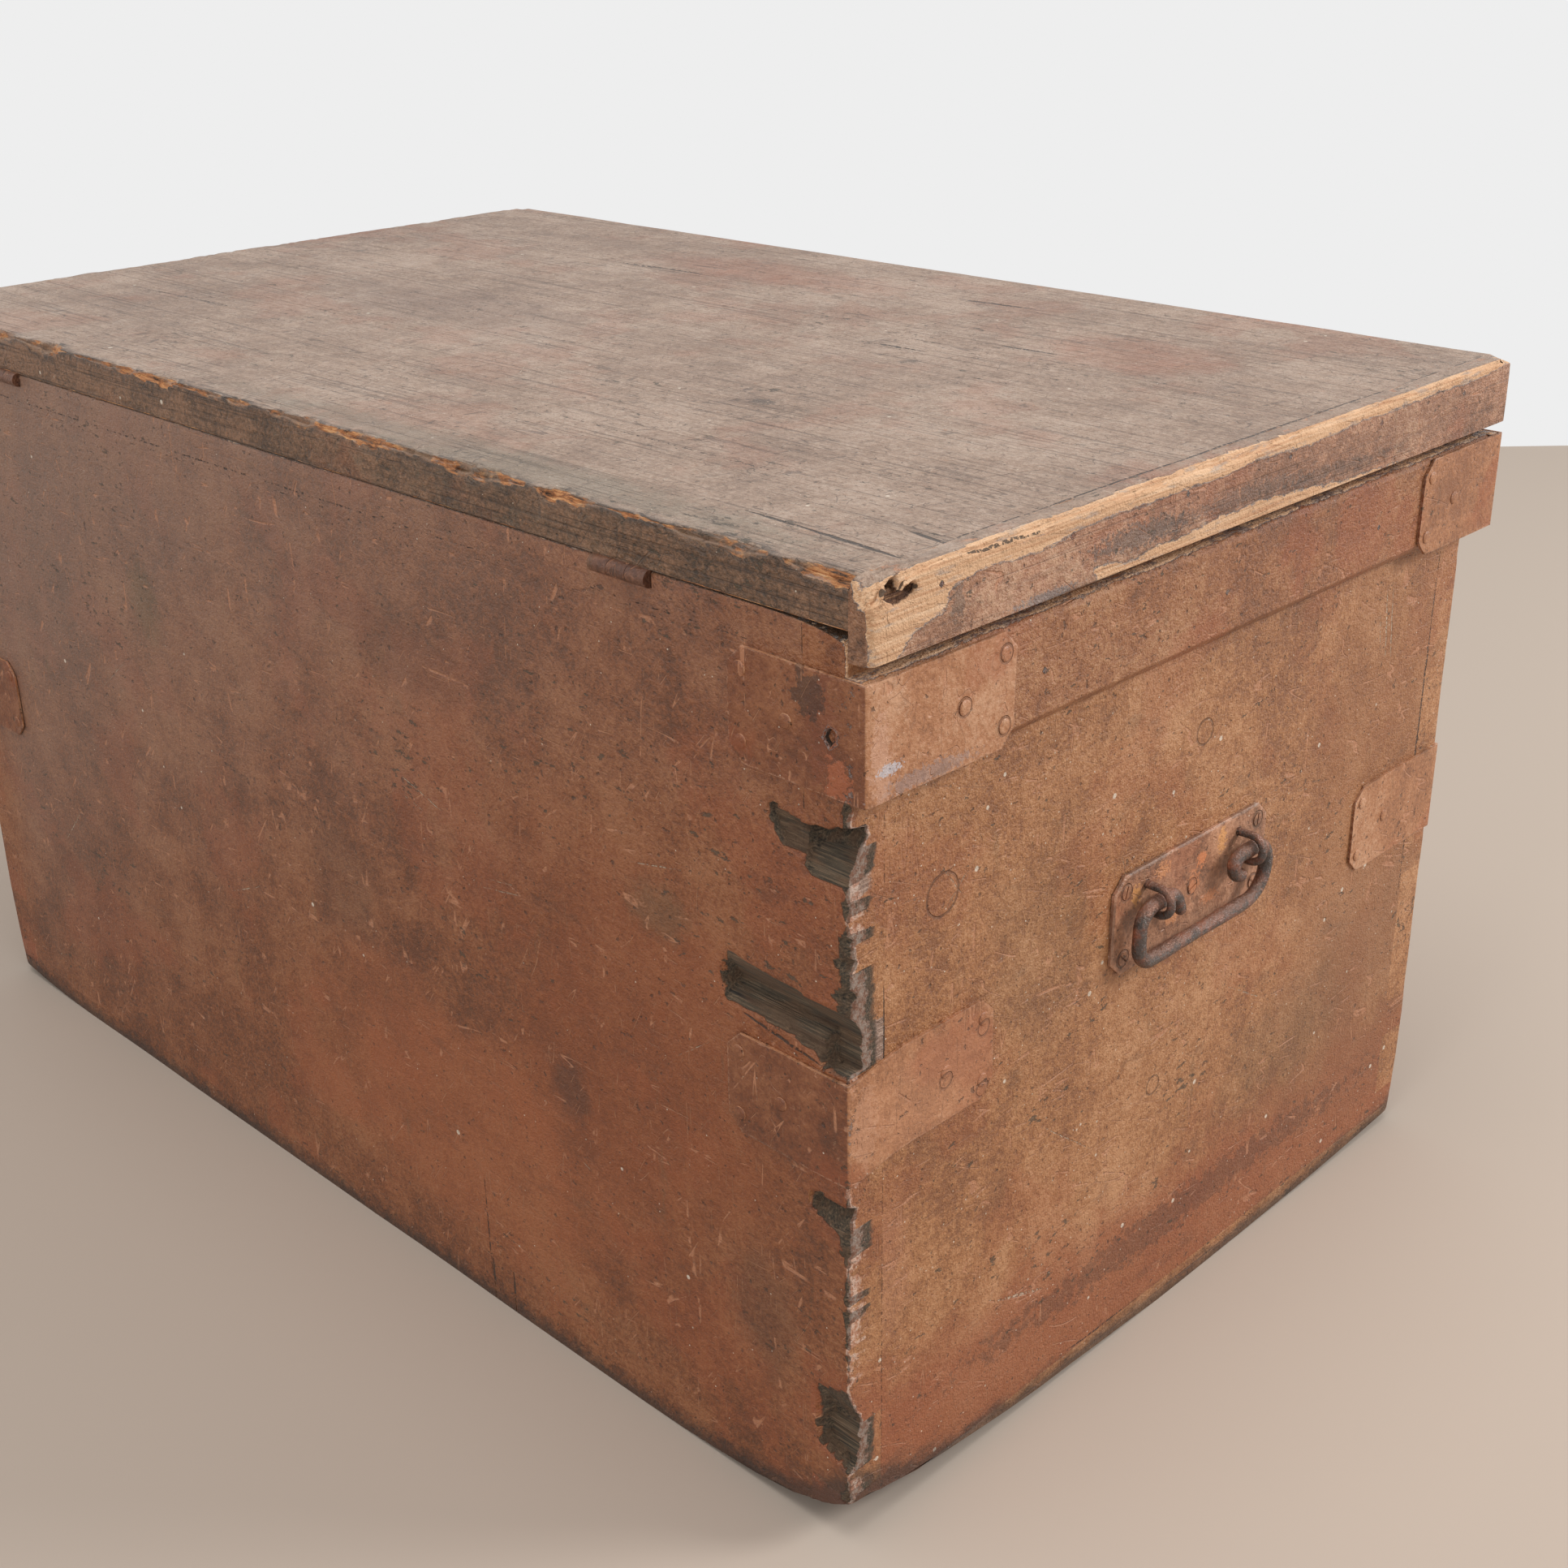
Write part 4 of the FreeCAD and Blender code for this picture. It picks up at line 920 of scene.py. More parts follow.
def specks(n, place):
    """Pale specks in two sizes: cells of a lattice, a few of them with a dot."""
    total = None
    for cell, power, seed in ((17.0, 7.0, 0.0), (5.0, 4.0, 3.0)):
        spread = n.vector("ADD", n.vector("DIVIDE", place, (cell, cell, cell)), (seed, seed, seed))
        off = n.add("TexVoronoi", {"Vector": spread, "Scale": 1.0})
        draw = n.add("SeparateColor", {0: n.add("TexVoronoi", {"Vector": spread, "Scale": 1.0}, 1)})
        size = n.times(n.math("POWER", draw, power), 0.095)
        total = n.strongest(total, n.band(n.minus(size, off), -0.015, 0.015))
    return total


def hair_scratches(n, place, grain):
    """Hair-fine scratches: contour lines of long noise, broken up by a finer one."""
    turned = n.add("VectorRotate", {"Vector": place, "Axis": (0.7, 0.7, 0.0), "Angle": 0.9},
                   rotation_type="AXIS_ANGLE")
    total = None
    for source, size, seed in ((place, (13.0, 13.0, 170.0), 8.0), (turned, (11.0, 90.0, 150.0), 8.4),
                               (place, stretched(grain, 170.0, 12.0), 8.8)):
        off = n.math("ABSOLUTE", n.minus(n.noise(source, size, 1.0, 0.4, seed), 0.5))
        gaps = n.band(n.noise(place, 17.0, 3.0, 0.6, seed + 1), 0.54, 0.6)
        total = n.strongest(total, n.times(n.band(off, 0.011, 0.003), gaps))
    return total


def new_material(name):
    """A material with no nodes yet, and the calls that add them."""
    material = bpy.data.materials.new(name)
    material.use_nodes = True
    material.node_tree.nodes.clear()
    return material, Nodes(material.node_tree)


def painted(name, grain, side, end, top, red_share, roughness=0.5, dust_and_sheen=0.0, low_red=0.0,
            pale_marks=(), dark_marks=(), rings=(), blotches=(), rim=None, under=None,
            torn_tones=(OLD_DARK, OLD_MID, OLD_PALE), hair_tint=PINK, fibre=0.1, patchy=0.0,
            rim_share=1.0, raw_inside=False):
    """Old oil paint with bare arrises, breaks, soiling, painted shade, specks and scratches.

    side, end and top each give a dark, a middle and a light tone for faces that look that way; their
    differences are partly painted light and shade. grain is the axis along which the wood runs; iron has
    none, and a smoother coat. The shares, from 0 to
    1: red_share for reddish patches, dust_and_sheen for a grey film on the far half that is partly dust
       and partly a painted sheen,
    low_red for a redder foot, fibre for streaks along the grain, patchy for paint that has held on in
    spots. under shows where the coat is gone and torn_tones where the piece is broken.
    """
    material, n = new_material(name)
    where = n.add("TexCoord", output=3)
    place = n.add("VectorMath", {0: where, 1: (1 / MM, -1 / MM, 1 / MM),
                                 2: (-END_FACE / MM, BACK_FACE / MM, 0)}, operation="MULTIPLY_ADD")
    facing = n.vector("ABSOLUTE", n.add("TexCoord", output=1))
    across = n.add("SeparateXYZ", {0: facing}, 0)
    upward = n.add("SeparateXYZ", {0: facing}, 2)
    u, v, w = [n.add("SeparateXYZ", {0: place}, axis) for axis in range(3)]

    def grained(along, thick, *settings):
        return n.noise(place, stretched(grain, along, thick), *settings)

    # Broad mottling, smudges, brush streaks along the grain and fine unevenness.
    broad = n.noise(place, 140.0, 3.0, 0.55)
    smudge = n.noise(place, 30.0, 4.0, 0.62, 1.5)
    streak = grained(120.0, 4.0, 3.0, 0.6, 1.0)
    fine = n.noise(place, 2.6, 3.0, 0.65, 2.0)
    mottle = n.noise(place, 8.0, 4.0, 0.65, 2.6)
    value = n.more(n.times(broad, 0.3 - 0.07 * fibre), smudge, 0.22)
    for noise, share in ((streak, 0.02 + 0.07 * fibre), (mottle, 0.14), (fine, 0.32 if grain else 0.22)):
        value = n.more(value, noise, share)
    if not grain:
        value = n.plus(value, 0.052)
    # Faces along the back, at the ends and on top take their own tones by the way they point: partly the
    # paint's own colour, partly painted light and shade.
    colours = [n.ramp(value, (0.425, 0.5, 0.575), tones) for tones in (side, end, top)]
    colour = n.mix(n.band(across, 0.45, 0.8), colours[0], colours[1])
    colour = n.mix(n.band(upward, 0.55, 0.85), colour, colours[2])
    patches = n.band(n.noise(place, 80.0, 4.0, 0.6, 4.0), 0.52, 0.62)
    colour = n.tint(colour, RED_PATCH, patches, red_share)
    if low_red:
        colour = n.tint(colour, LOW_RED, n.band(n.more(w, smudge, 60.0), 150.0, 95.0), low_red)
    if dust_and_sheen:
        # A grey film high on the far part of the back: partly dust and partly a painted sheen. It stays
        # on the back and ends before the far corner, where the end boards' pins show.
        high = n.band(n.plus(n.times(u, 0.55), n.more(w, smudge, 200.0)), 480.0, 980.0)
        high = n.times(high, n.times(n.band(v, 300.0, 100.0), n.band(u, 905.0, 840.0)))
        colour = n.tint(colour, DUST_AND_SHEEN_GREY, high, dust_and_sheen)
    for centre, size, tint, share in blotches:
        colour = n.tint(colour, tint, region(n, place, centre, size), share)
    # Dark stains that follow the grain, and greenish smears that run down.
    stain = n.band(grained(45.0, 22.0, 5.0, 0.7, 5.0), 0.57, 0.7)
    colour = n.tint(colour, GRIME_AND_SHADE, stain, 0.24)
    smear = n.band(n.noise(place, (16.0, 16.0, 70.0), 5.0, 0.7, 5.5), 0.6, 0.74)
    colour = n.tint(colour, OLIVE, smear, 0.26)
    # Rubbed places show a lighter, pinker coat.
    rubbed = n.band(grained(11.0, 7.0, 5.0, 0.75, 6.0), 0.6, 0.7)
    colour = n.tint(colour, PINK, rubbed, 0.2)
    pits = n.band(n.noise(place, 4.0, 2.0, 0.5, 7.0), 0.675, 0.74)
    colour = n.tint(colour, GRIME_AND_SHADE, pits, 0.55)
    hairs = hair_scratches(n, place, grain)
    colour = n.tint(colour, hair_tint, hairs, 0.6)
    grooves = n.band(grained(190.0, 1.7, 3.0, 0.6, 24.0), 0.56, 0.68)
    colour = n.tint(colour, GRIME_AND_SHADE, grooves, 0.5 * fibre)
    # Knocks that have lifted the paint: dark greenish ones, and a few down to pale wood.
    chipped = grained(10.0, 4.5, 4.0, 0.7, 18.0)
    clusters = n.noise(place, 90.0, 2.0, 0.5, 18.5)
    dark_chips = n.band(n.more(chipped, clusters, 0.35), 0.84, 0.865)
    colour = n.tint(colour, CHIPPED, dark_chips, 0.75)
    pale_chips = n.band(n.less(grained(8.0, 4.0, 4.0, 0.7, 19.0), clusters, 0.3), 0.575, 0.59)
    colour = n.tint(colour, BARE_WARM, pale_chips, 0.7)
    colour = n.tint(colour, SPECK, specks(n, place), 0.75)
    grit = n.noise(place, 1.2, 2.0, 0.6, 2.9)
    relief = n.plus(n.times(streak, 0.1 + 0.4 * fibre), n.times(fine, 0.75 if grain else 0.45))
    for noise, share in ((grit, 0.6 if grain else 0.25), (mottle, 0.6), (smudge, 0.9)):
        relief = n.more(relief, noise, share)
    for hollow, share in ((pits, 0.5), (hairs, 0.3), (grooves, 0.4 * fibre),
                          (n.strongest(dark_chips, pale_chips), 0.5)):
        relief = n.less(relief, hollow, share)
    for centre, radius, width, tint in rings:
        drawn = ring_mark(n, place, centre, radius, width)
        colour = n.tint(colour, tint, drawn, 0.34)
        relief = n.less(relief, drawn, 0.9)
    # Darker where the grime_and_shade mark is high: low down, in the corners and along lower edges. This
    # is partly soiled paint and partly painted shade.
    ragged = grained(26.0, 9.0, 5.0, 0.7, 10.0)
    dirt_and_shade = n.band(n.more(n.mark("grime_and_shade"), ragged, 0.9), 0.82, 1.3)
    colour = n.tint(colour, GRIME_AND_SHADE, dirt_and_shade, 0.76)
    if raw_inside:
        # The inside was never painted.
        in_u = n.minus(n.math("MINIMUM", u, n.minus(LENGTH, u)), END_THICK)
        in_v = n.minus(n.math("MINIMUM", v, n.minus(WIDTH, v)), BOARD_THICK)
        within = n.times(n.band(n.math("MINIMUM", in_u, in_v), -1.6, -0.8),
                         n.band(w, LID_UNDER + 1.5, LID_UNDER + 0.8))
        raw = n.ramp(grained(90.0, 2.4, 4.0, 0.65, 27.0), (0.3, 0.5, 0.7), RAW)
        raw = n.tint(raw, RAW[0], n.band(smudge, 0.5, 0.7), 0.4)
        colour = n.mix(within, colour, raw)
    # Where paint is gone the wood is tan with darker lines, behind a grey rim of primer.
    shards = grained(9.0, 3.2, 5.0, 0.75, 11.0)
    lumps = n.minus(grained(50.0, 30.0, 3.0, 0.6, 11.5), 0.5)
    worn = n.more(n.plus(n.mark("wear"), shards), lumps, 0.6)
    primer = n.band(worn, 0.97, 1.03)
    bare = n.band(worn, 1.06, 1.11)
    smears = n.band(grained(26.0, 4.5, 4.0, 0.65, 26.0), 0.55, 0.66)
    if patchy:
        spots = n.band(grained(34.0, 16.0, 4.0, 0.65, 25.0), 0.46, 0.56)
        bare = n.times(bare, n.more(1 - patchy, spots, patchy))
    if under:
        lines = n.noise(place, 2.5 if rim else stretched(grain, 14.0, 2.0), 4.0, 0.7, 13.0)
        wood = n.ramp(lines, (0.35, 0.5, 0.66), under)
    else:
        lines = grained(70.0, 1.5, 3.0, 0.6, 12.0)
        wood = n.ramp(lines, (0.25, 0.5, 0.72), (BARE_WARM, BARE_MIDDLE, BARE_LIGHT))
    colour = n.tint(colour, DARK_PRIMER if patchy else PRIMER, primer, 0.55)
    colour = n.mix(bare, colour, n.tint(wood, PALE_SMEAR, smears, 0.5))
    # Scuffs: combed, greyish-pink wood where the surface has been scraped.
    combed = n.noise(place, (1.4, 30.0, 1.4), 3.0, 0.7, 16.0)
    scuff = n.band(n.more(n.mark("scuff"), shards, 0.6), 0.62, 0.8)
    colour = n.tint(colour, n.ramp(combed, (0.35, 0.5, 0.66), SCUFFED), scuff, 0.85)
    if rim:
        line = n.band(n.more(n.mark("rim"), n.minus(shards, 0.5), 1.6), 0.86, 0.98)
        colour = n.tint(colour, rim, line, 0.36 * rim_share)
        edge = n.band(n.less(n.mark("rim"), lumps, 1.4), 0.9, 1.05)
        colour = n.tint(colour, GRIME_AND_SHADE, edge, 0.32 * rim_share)
    # Broken wood is old, dark and ridged along the grain.
    torn = n.band(n.more(n.mark("broken"), shards, 0.5), 0.55, 0.72)
    fibres = grained(60.0, 1.1, 4.0, 0.7, 14.0)
    weathered = n.band(grained(30.0, 7.0, 3.0, 0.6, 14.5), 0.44, 0.6)
    old = n.ramp(fibres, (0.34, 0.5, 0.68), torn_tones)
    colour = n.mix(torn, colour, n.tint(old, WEATHERED, weathered, 0.45))
    relief = n.plus(relief, n.times(torn, n.times(fibres, 2.6)))
    # The arris by the breaks is rubbed to a pale pink.
    torn_edge = n.noise(place, 5.0, 4.0, 0.7, 23.0)
    rub = n.band(n.plus(n.times(n.mark("rub"), 0.8), torn_edge), 0.95, 1.1)
    colour = n.tint(colour, n.mix(n.band(fine, 0.4, 0.6), *RUBBED), rub, 0.6)
    for marks, tint, share, depth in ((pale_marks, PALE_SCRATCH, 0.7, 0.6),
                                      (dark_marks, OLD_DARK, 0.85, 2.2)):
        if marks:
            drawn = strokes(n, place, marks)
            colour = n.tint(colour, tint, drawn, share)
            relief = n.less(relief, drawn, depth)
    relief = n.less(relief, primer, 0.35)
    bump = n.add("Bump", {"Strength": 0.9, "Distance": 0.0018, "Height": relief})
    gloss = n.more(roughness - 0.16, n.noise(place, 22.0, 4.0, 0.7, 15.0), 0.25)
    gloss = n.plus(gloss, n.times(n.strongest(bare, torn), 0.3), clamp=True)
    shader = n.add("BsdfPrincipled", {"Base Color": colour, "Roughness": gloss, "Normal": bump})
    n.add("OutputMaterial", {"Surface": shader})
    return material


def rusty_iron(name, base, high, shine):
    """Bare wrought iron, brown with rust in the hollows and rubbed grey on top."""
    material, n = new_material(name)
    place = n.vector("MULTIPLY", n.add("TexCoord", output=3), (1 / MM, 1 / MM, 1 / MM))
    blotch = n.noise(place, 9.0, 5.0, 0.65)
    fine = n.noise(place, 1.2, 4.0, 0.7, 1.0)
    value = n.more(n.times(blotch, 0.7), fine, 0.3)
    colour = n.ramp(value, (0.34, 0.48, 0.6, 0.72), (tone(48, 36, 32), base, RUST, high))
    rubbed = n.band(n.noise(place, 14.0, 3.0, 0.6, 2.0), 0.5, 0.66)
    metal = n.times(rubbed, shine)
    colour = n.tint(colour, tone(106, 98, 92), rubbed, 0.5)
    spots = n.band(n.noise(place, 3.2, 4.0, 0.7, 5.0), 0.58, 0.66)
    colour = n.tint(colour, tone(150, 92, 58), spots, 0.5)
    soot = n.band(n.noise(place, 6.0, 4.0, 0.7, 6.0), 0.56, 0.66)
    colour = n.tint(colour, tone(36, 29, 27), soot, 0.6)
    crust = n.noise(place, 2.4, 4.0, 0.7, 3.0)
    # Faces that point up are paler and faces that point down darker: paint and dust on top together with
    # painted light, and painted shade underneath.
    upward = n.add("SeparateXYZ", {0: n.add("TexCoord", output=1)}, 2)
    on_top = n.band(n.more(upward, n.minus(blotch, 0.5), 2.0), 0.1, 0.8)
    colour = n.tint(colour, tone(180, 124, 96), on_top, 0.36)
    colour = n.tint(colour, tone(38, 29, 25), n.band(upward, -0.1, -0.8), 0.6)
    relief = n.more(n.plus(blotch, crust), fine, 0.6)
    bump = n.add("Bump", {"Strength": 1.0, "Distance": 0.0011, "Height": relief})
    gloss = n.more(0.06, crust, 0.4)
    shader = n.add("BsdfPrincipled", {"Base Color": colour, "Metallic": metal, "Roughness": gloss,
                                      "Specular IOR Level": 0.8, "Normal": bump})
    n.add("OutputMaterial", {"Surface": shader})
    return material


RED_PATCH = tone(152, 79, 45)
LOW_RED = tone(150, 82, 50)
DUST_AND_SHEEN_GREY = tone(142, 124, 112)
OLIVE = tone(96, 84, 60)
# Dark, middle and light tones for faces along the back, at the ends and on top. The differences between
# these sets are partly the paint's own colour and partly painted light and shade: darker backs, brighter
# ends and a paler lid top as a painted sheen.
SIDE = (tone(98, 56, 32), tone(130, 76, 43), tone(152, 98, 62))
END = (tone(136, 87, 54), tone(168, 114, 72), tone(191, 139, 98))
SKIRT = (tone(124, 77, 48), tone(153, 99, 62), tone(176, 126, 88))
TOP = (tone(134, 109, 92), tone(158, 132, 113), tone(177, 153, 135))
LID_SIDE = (tone(70, 52, 38), tone(108, 79, 57), tone(140, 104, 78))
STRIP_SIDE = (tone(96, 66, 48), tone(128, 89, 64), tone(156, 113, 84))
STRAP_SIDE = (tone(88, 50, 31), tone(117, 67, 40), tone(142, 90, 58))
STRAP_END = (tone(138, 90, 60), tone(172, 117, 80), tone(196, 148, 114))
PLATE = (tone(96, 66, 50), tone(158, 110, 82), tone(196, 144, 112))
RAW = (tone(120, 84, 56), tone(156, 116, 80), tone(182, 143, 103))
PLANK = (tone(64, 48, 38), tone(92, 68, 50), tone(120, 90, 66))
RIM = tone(198, 152, 124)
IRON_UNDER = (tone(60, 44, 38), RUST, tone(166, 110, 78))
SPLINTERED = (tone(62, 46, 36), tone(168, 108, 64), tone(210, 158, 106))
CRUMBLED = (tone(36, 24, 18), tone(112, 72, 48), tone(192, 144, 102))
# Near-black tones for the torn hole in a strap: painted shade inside the hole.
HOLE_SHADE_TONES = (tone(20, 14, 12), tone(36, 25, 21), tone(96, 66, 54))
HINGE = (tone(66, 42, 31), tone(92, 58, 42), tone(122, 82, 60))
STRIP = (tone(132, 92, 69), tone(168, 121, 93), tone(196, 154, 124))

# Scratches and cracks, in short rows: where each starts, where it stops, its width and how broken it
# is. Blotches have a centre, a reach by axis, a tint and its share.

def on_back(u, w):
    return u, 0, w


def on_end(v, w):
    return 0, v, w


def on_top(u, v):
    return u, v, LID_TOP


def on_strip(v, w):
    return -12, v, w


def strokes_on(face, rows):
    return [(face(*row[:2]), face(*row[2:4]), *row[4:]) for row in rows]


# The first pale row is a painted highlight along a paint ridge on the back at w 491, with the dark rows
# at w 492 and 488 in BACK_DARK beside it.
BACK_PALE = strokes_on(on_back, [
    (60, 491.4, 912, 490.4, 0.3, 0.56), (82, 301, 34, 299, 0.7, 0.36),
    (240, 300, 286, 292, 0.35, 0.44), (236, 306, 280, 299, 0.3, 0.44), (110, 360, 150, 352, 0.4, 0.44),
    (760, 190, 800, 150, 0.4, 0.44), (310, 330, 352, 342, 0.5, 0.4), (316, 322, 360, 331, 0.4, 0.42),
    (214, 150, 170, 131, 0.4, 0.45), (120, 250, 96, 268, 0.4, 0.4), (520, 210, 566, 190, 0.45, 0.45),
    (700, 300, 660, 330, 0.4, 0.45)])
# The rows at w 492 and 488 are dark lines beside the paint ridge along the back: partly dark lines in
# the paint and partly painted shade.
BACK_DARK = strokes_on(on_back, [
    (84, 305.5, 28, 304, 1.5, 0.2), (30, 304, -11, 300, 1.7, 0.2), (70, 296, 16, 288, 0.8, 0.4),
    (60, 493, 912, 492, 0.5, 0.5), (60, 489, 912, 488, 0.35, 0.54),
    (912, COURSE_JOINT, 84, COURSE_JOINT, 0.28, 0.52), (300, 90, 300, 16, 0.5, 0.42),
    (278, 30, 278, 0, 0.8, 0.3), (298, 30, 298, 0, 0.8, 0.3), (26.5, 510, 26.5, 491, 0.45, 0.3),
    (26.5, 430, 26.5, 420, 0.45, 0.3)])
END_PALE = strokes_on(on_end, [
    (474, 410, 480, 366, 0.7, 0.42), (480, 414, 487, 360, 0.5, 0.4), (468, 398, 473, 372, 0.4, 0.42),
    (64, 378, 84, 352, 0.4, 0.42), (70, 352, 92, 372, 0.35, 0.42), (120, 90, 160, 76, 0.9, 0.46),
    (150, 190, 200, 150, 0.4, 0.45), (330, 200, 380, 170, 0.4, 0.45), (214, 330, 228, 285, 0.35, 0.42)])
END_DARK = strokes_on(on_end, [
    (25, 226, 25.5, 30, 0.32, 0.46), (25, 431, 25, 342, 0.3, 0.5), (14, 38, 4, 52, 0.9, 0.35),
    (535, 420, 533, 190, 0.8, 0.4), (24.6, 331, 25.4, 288, 0.8, 0.3), (2, 342, 22, 342, 0.4, 0.35),
    (1, 20, 1, 44, 0.6, 0.3), (180, 16, 300, 12, 0.7, 0.44)])
TOP_DARK = strokes_on(on_top, [
    (0, 24, 0, 560, 0.7, 0.4), (262, 353, 312, 350, 1.4, 0.42), (290, 499, 352, 494, 1.5, 0.42),
    (196, 399, 240, 396, 1.3, 0.42), (560, 447, 640, 440, 1.7, 0.44), (120, 96, 310, 100, 0.7, 0.5),
    (420, 230, 520, 226, 0.7, 0.48), (101, 40, 56, 38, 1.0, 0.36), (60, 38, -5, 34, 1.3, 0.3),
    (23, 66, -9, 62, 1.1, 0.32), (700, 150, 820, 146, 0.8, 0.46), (500, 330, 560, 322, 0.7, 0.45)])
TOP_PALE = strokes_on(on_top, [
    (150, 300, 210, 260, 0.4, 0.46), (380, 120, 430, 180, 0.4, 0.46), (560, 60, 640, 90, 0.5, 0.46),
    (60, 200, 120, 190, 0.5, 0.46)])
BACK_BLOTCHES = [
    ((150, 0, 230), (170, 300, 190), tone(140, 74, 38), 0.5),
    # This redder blotch low on the back is partly the paint's own colour and partly painted light that
    # brightens the lower back.
    ((330, 0, 120), (220, 300, 120), tone(162, 92, 54), 0.5),
    ((620, 0, 380), (26, 200, 40), OLIVE, 0.4), ((210, 0, 190), (22, 200, 30), GRIME_AND_SHADE, 0.45),
    ((130, 0, 330), (34, 200, 22), OLIVE, 0.35), ((420, 0, 250), (60, 200, 60), GRIME_AND_SHADE, 0.25),
    ((60, 0, 120), (36, 200, 60), GRIME_AND_SHADE, 0.3), ((330, 0, 420), (90, 200, 36), GRIME_AND_SHADE, 0.22)]
END_BLOTCHES = [
    ((0, 480, 260), (300, 130, 260), tone(142, 90, 54), 0.5),
    ((0, 500, 130), (300, 140, 120), tone(132, 88, 58), 0.4),
    ((0, 150, 300), (200, 70, 90), OLIVE, 0.15), ((0, 400, 130), (200, 90, 60), OLIVE, 0.22),
    ((0, 30, 160), (200, 24, 60), PINK, 0.3), ((0, 70, 470), (200, 40, 30), PINK, 0.3),
    ((0, 300, 60), (200, 220, 14), GRIME_AND_SHADE, 0.35)]
TOP_BLOTCHES = [
    ((260, 20, LID_TOP), (330, 26, 60), tone(112, 106, 90), 0.45),
    ((246, 195, LID_TOP), (9, 6, 40), GRIME_AND_SHADE, 0.6),
    ((520, 480, LID_TOP), (170, 50, 60), RED_PATCH, 0.3),
    ((160, 430, LID_TOP), (90, 60, 60), RED_PATCH, 0.25),
    ((600, 250, LID_TOP), (200, 70, 60), tone(120, 96, 84), 0.3)]
STRIP_DARK = strokes_on(on_strip, [
    (6, 528.5, 19, 530, 1.5, 0.22), (17, 529, 18, 537, 1.3, 0.22), (17, 526, 32, 526.5, 1.2, 0.26),
    (20.6, 527.6, 24, 531, 0.6, 0.3), (24, 531, 27.6, 527.6, 0.6, 0.3),
    (27.6, 527.6, 24, 524.2, 0.6, 0.3), (30, 529, 44, 533, 0.7, 0.4), (60, 533, 120, 531, 0.9, 0.44),
    (130, 516, 190, 512, 0.7, 0.48), (240, 520, 330, 517, 0.9, 0.48)])
STRIP_DARK += strokes_on(on_top, [(0, 24, 0, 560, 0.5, 0.4)])
STRIP_BLOTCHES = [
    ((-12, 196, 512), (30, 44, 7), tone(84, 78, 74), 0.6),
    ((-12, 290, 512), (30, 62, 5), tone(84, 74, 68), 0.45),
    ((-12, 372, 507), (30, 50, 5), tone(84, 70, 62), 0.4),
    ((-12, 122, 499), (30, 26, 3), tone(112, 116, 120), 0.6),
    ((-12, 450, 516), (30, 100, 14), tone(112, 80, 60), 0.3),
    ((-12, 58, 512), (30, 6, 9), tone(92, 84, 76), 0.5)]
STRAP_BLOTCHES = [
    ((14, -2, 462), (9, 40, 30), RUST, 0.5), ((22, -2, 478), (12, 40, 12), GRIME_AND_SHADE, 0.6),
    ((4, -2, 440), (8, 40, 14), tone(170, 96, 62), 0.6),
    ((-11, 40, 436), (30, 34, 5), tone(150, 132, 128), 0.5),
    ((-11, 8, 450), (30, 7, 26), tone(206, 160, 134), 0.5),
    ((-11, 14, 446), (30, 9, 3), tone(196, 198, 206), 0.7),
    ((-2, 10, 256), (30, 10, 26), tone(196, 146, 116), 0.4),
    ((-2, 60, 256), (30, 66, 44), tone(212, 152, 116), 0.25)]
PLATE_BLOTCHES = [
    ((-2, 308, 305), (30, 5, 8), tone(222, 160, 104), 0.9),
    ((-2, 250, 307), (30, 8, 5), tone(206, 140, 94), 0.8),
    ((-2, 288, 300), (30, 5, 5), tone(212, 132, 86), 0.8),
    ((-2, 281, 288), (30, 6, 9), tone(200, 128, 86), 0.7),
    ((-2, 262, 274), (30, 7, 5), tone(206, 140, 96), 0.8),
    ((-2, 299, 273), (30, 9, 4), tone(204, 134, 92), 0.8),
    ((-2, 226, 301), (30, 5, 6), tone(214, 152, 92), 0.8)]

# Rings have a centre, a radius, a line width and a tint.

PLATE_RINGS = [((0, *measured(centre)[1:]), 4.8, 0.9, OLD_DARK)
               for centre, outward, _ in head_places("plate_screws") if outward.x < 0]
STRAP_RINGS = [(tuple(measured(centre)), 4.6, 0.7, tone(92, 56, 40))
               for centre, outward, _ in head_places("strap_nails") if outward.x < 0 and centre.y > 0]
PLUGS = [((0, 67, 360), 11.5, 0.8, OLD_DARK), ((0, 286, 377), 7.5, 0.7, OLD_DARK),
         ((0, 258, 165), 6.0, 0.6, OLD_DARK)]

back_paint = painted("back_paint", "x", SIDE, END, PLANK, 0.3, dust_and_sheen=0.5, pale_marks=BACK_PALE,
                     dark_marks=BACK_DARK, blotches=BACK_BLOTCHES, raw_inside=True)
hinge_paint = painted("hinge_paint", "", HINGE, HINGE, HINGE, 0.2, 0.46, under=IRON_UNDER, fibre=0)
end_paint = painted("end_paint", "y", SIDE, END, PLANK, 0.25, low_red=0.7, pale_marks=END_PALE,
                    dark_marks=END_DARK, rings=PLUGS, blotches=END_BLOTCHES, raw_inside=True)
skirt_paint = painted("skirt_paint", "y", SIDE, SKIRT, SKIRT, 0.4)
top_paint = painted("top_paint", "x", LID_SIDE, END, TOP, 0.18, pale_marks=TOP_PALE,
                    dark_marks=TOP_DARK, blotches=TOP_BLOTCHES, under=SPLINTERED, torn_tones=CRUMBLED,
                    hair_tint=tone(84, 68, 58), fibre=0.8, patchy=0.8, raw_inside=True)
strip_paint = painted("strip_paint", "y", STRIP_SIDE, STRIP, TOP, 0.3, dark_marks=STRIP_DARK,
                      blotches=STRIP_BLOTCHES, torn_tones=CRUMBLED, fibre=0.5)
plank_wood = painted("plank_wood", "y", SIDE, END, PLANK, 0.1, 0.6, fibre=0.8, raw_inside=True)
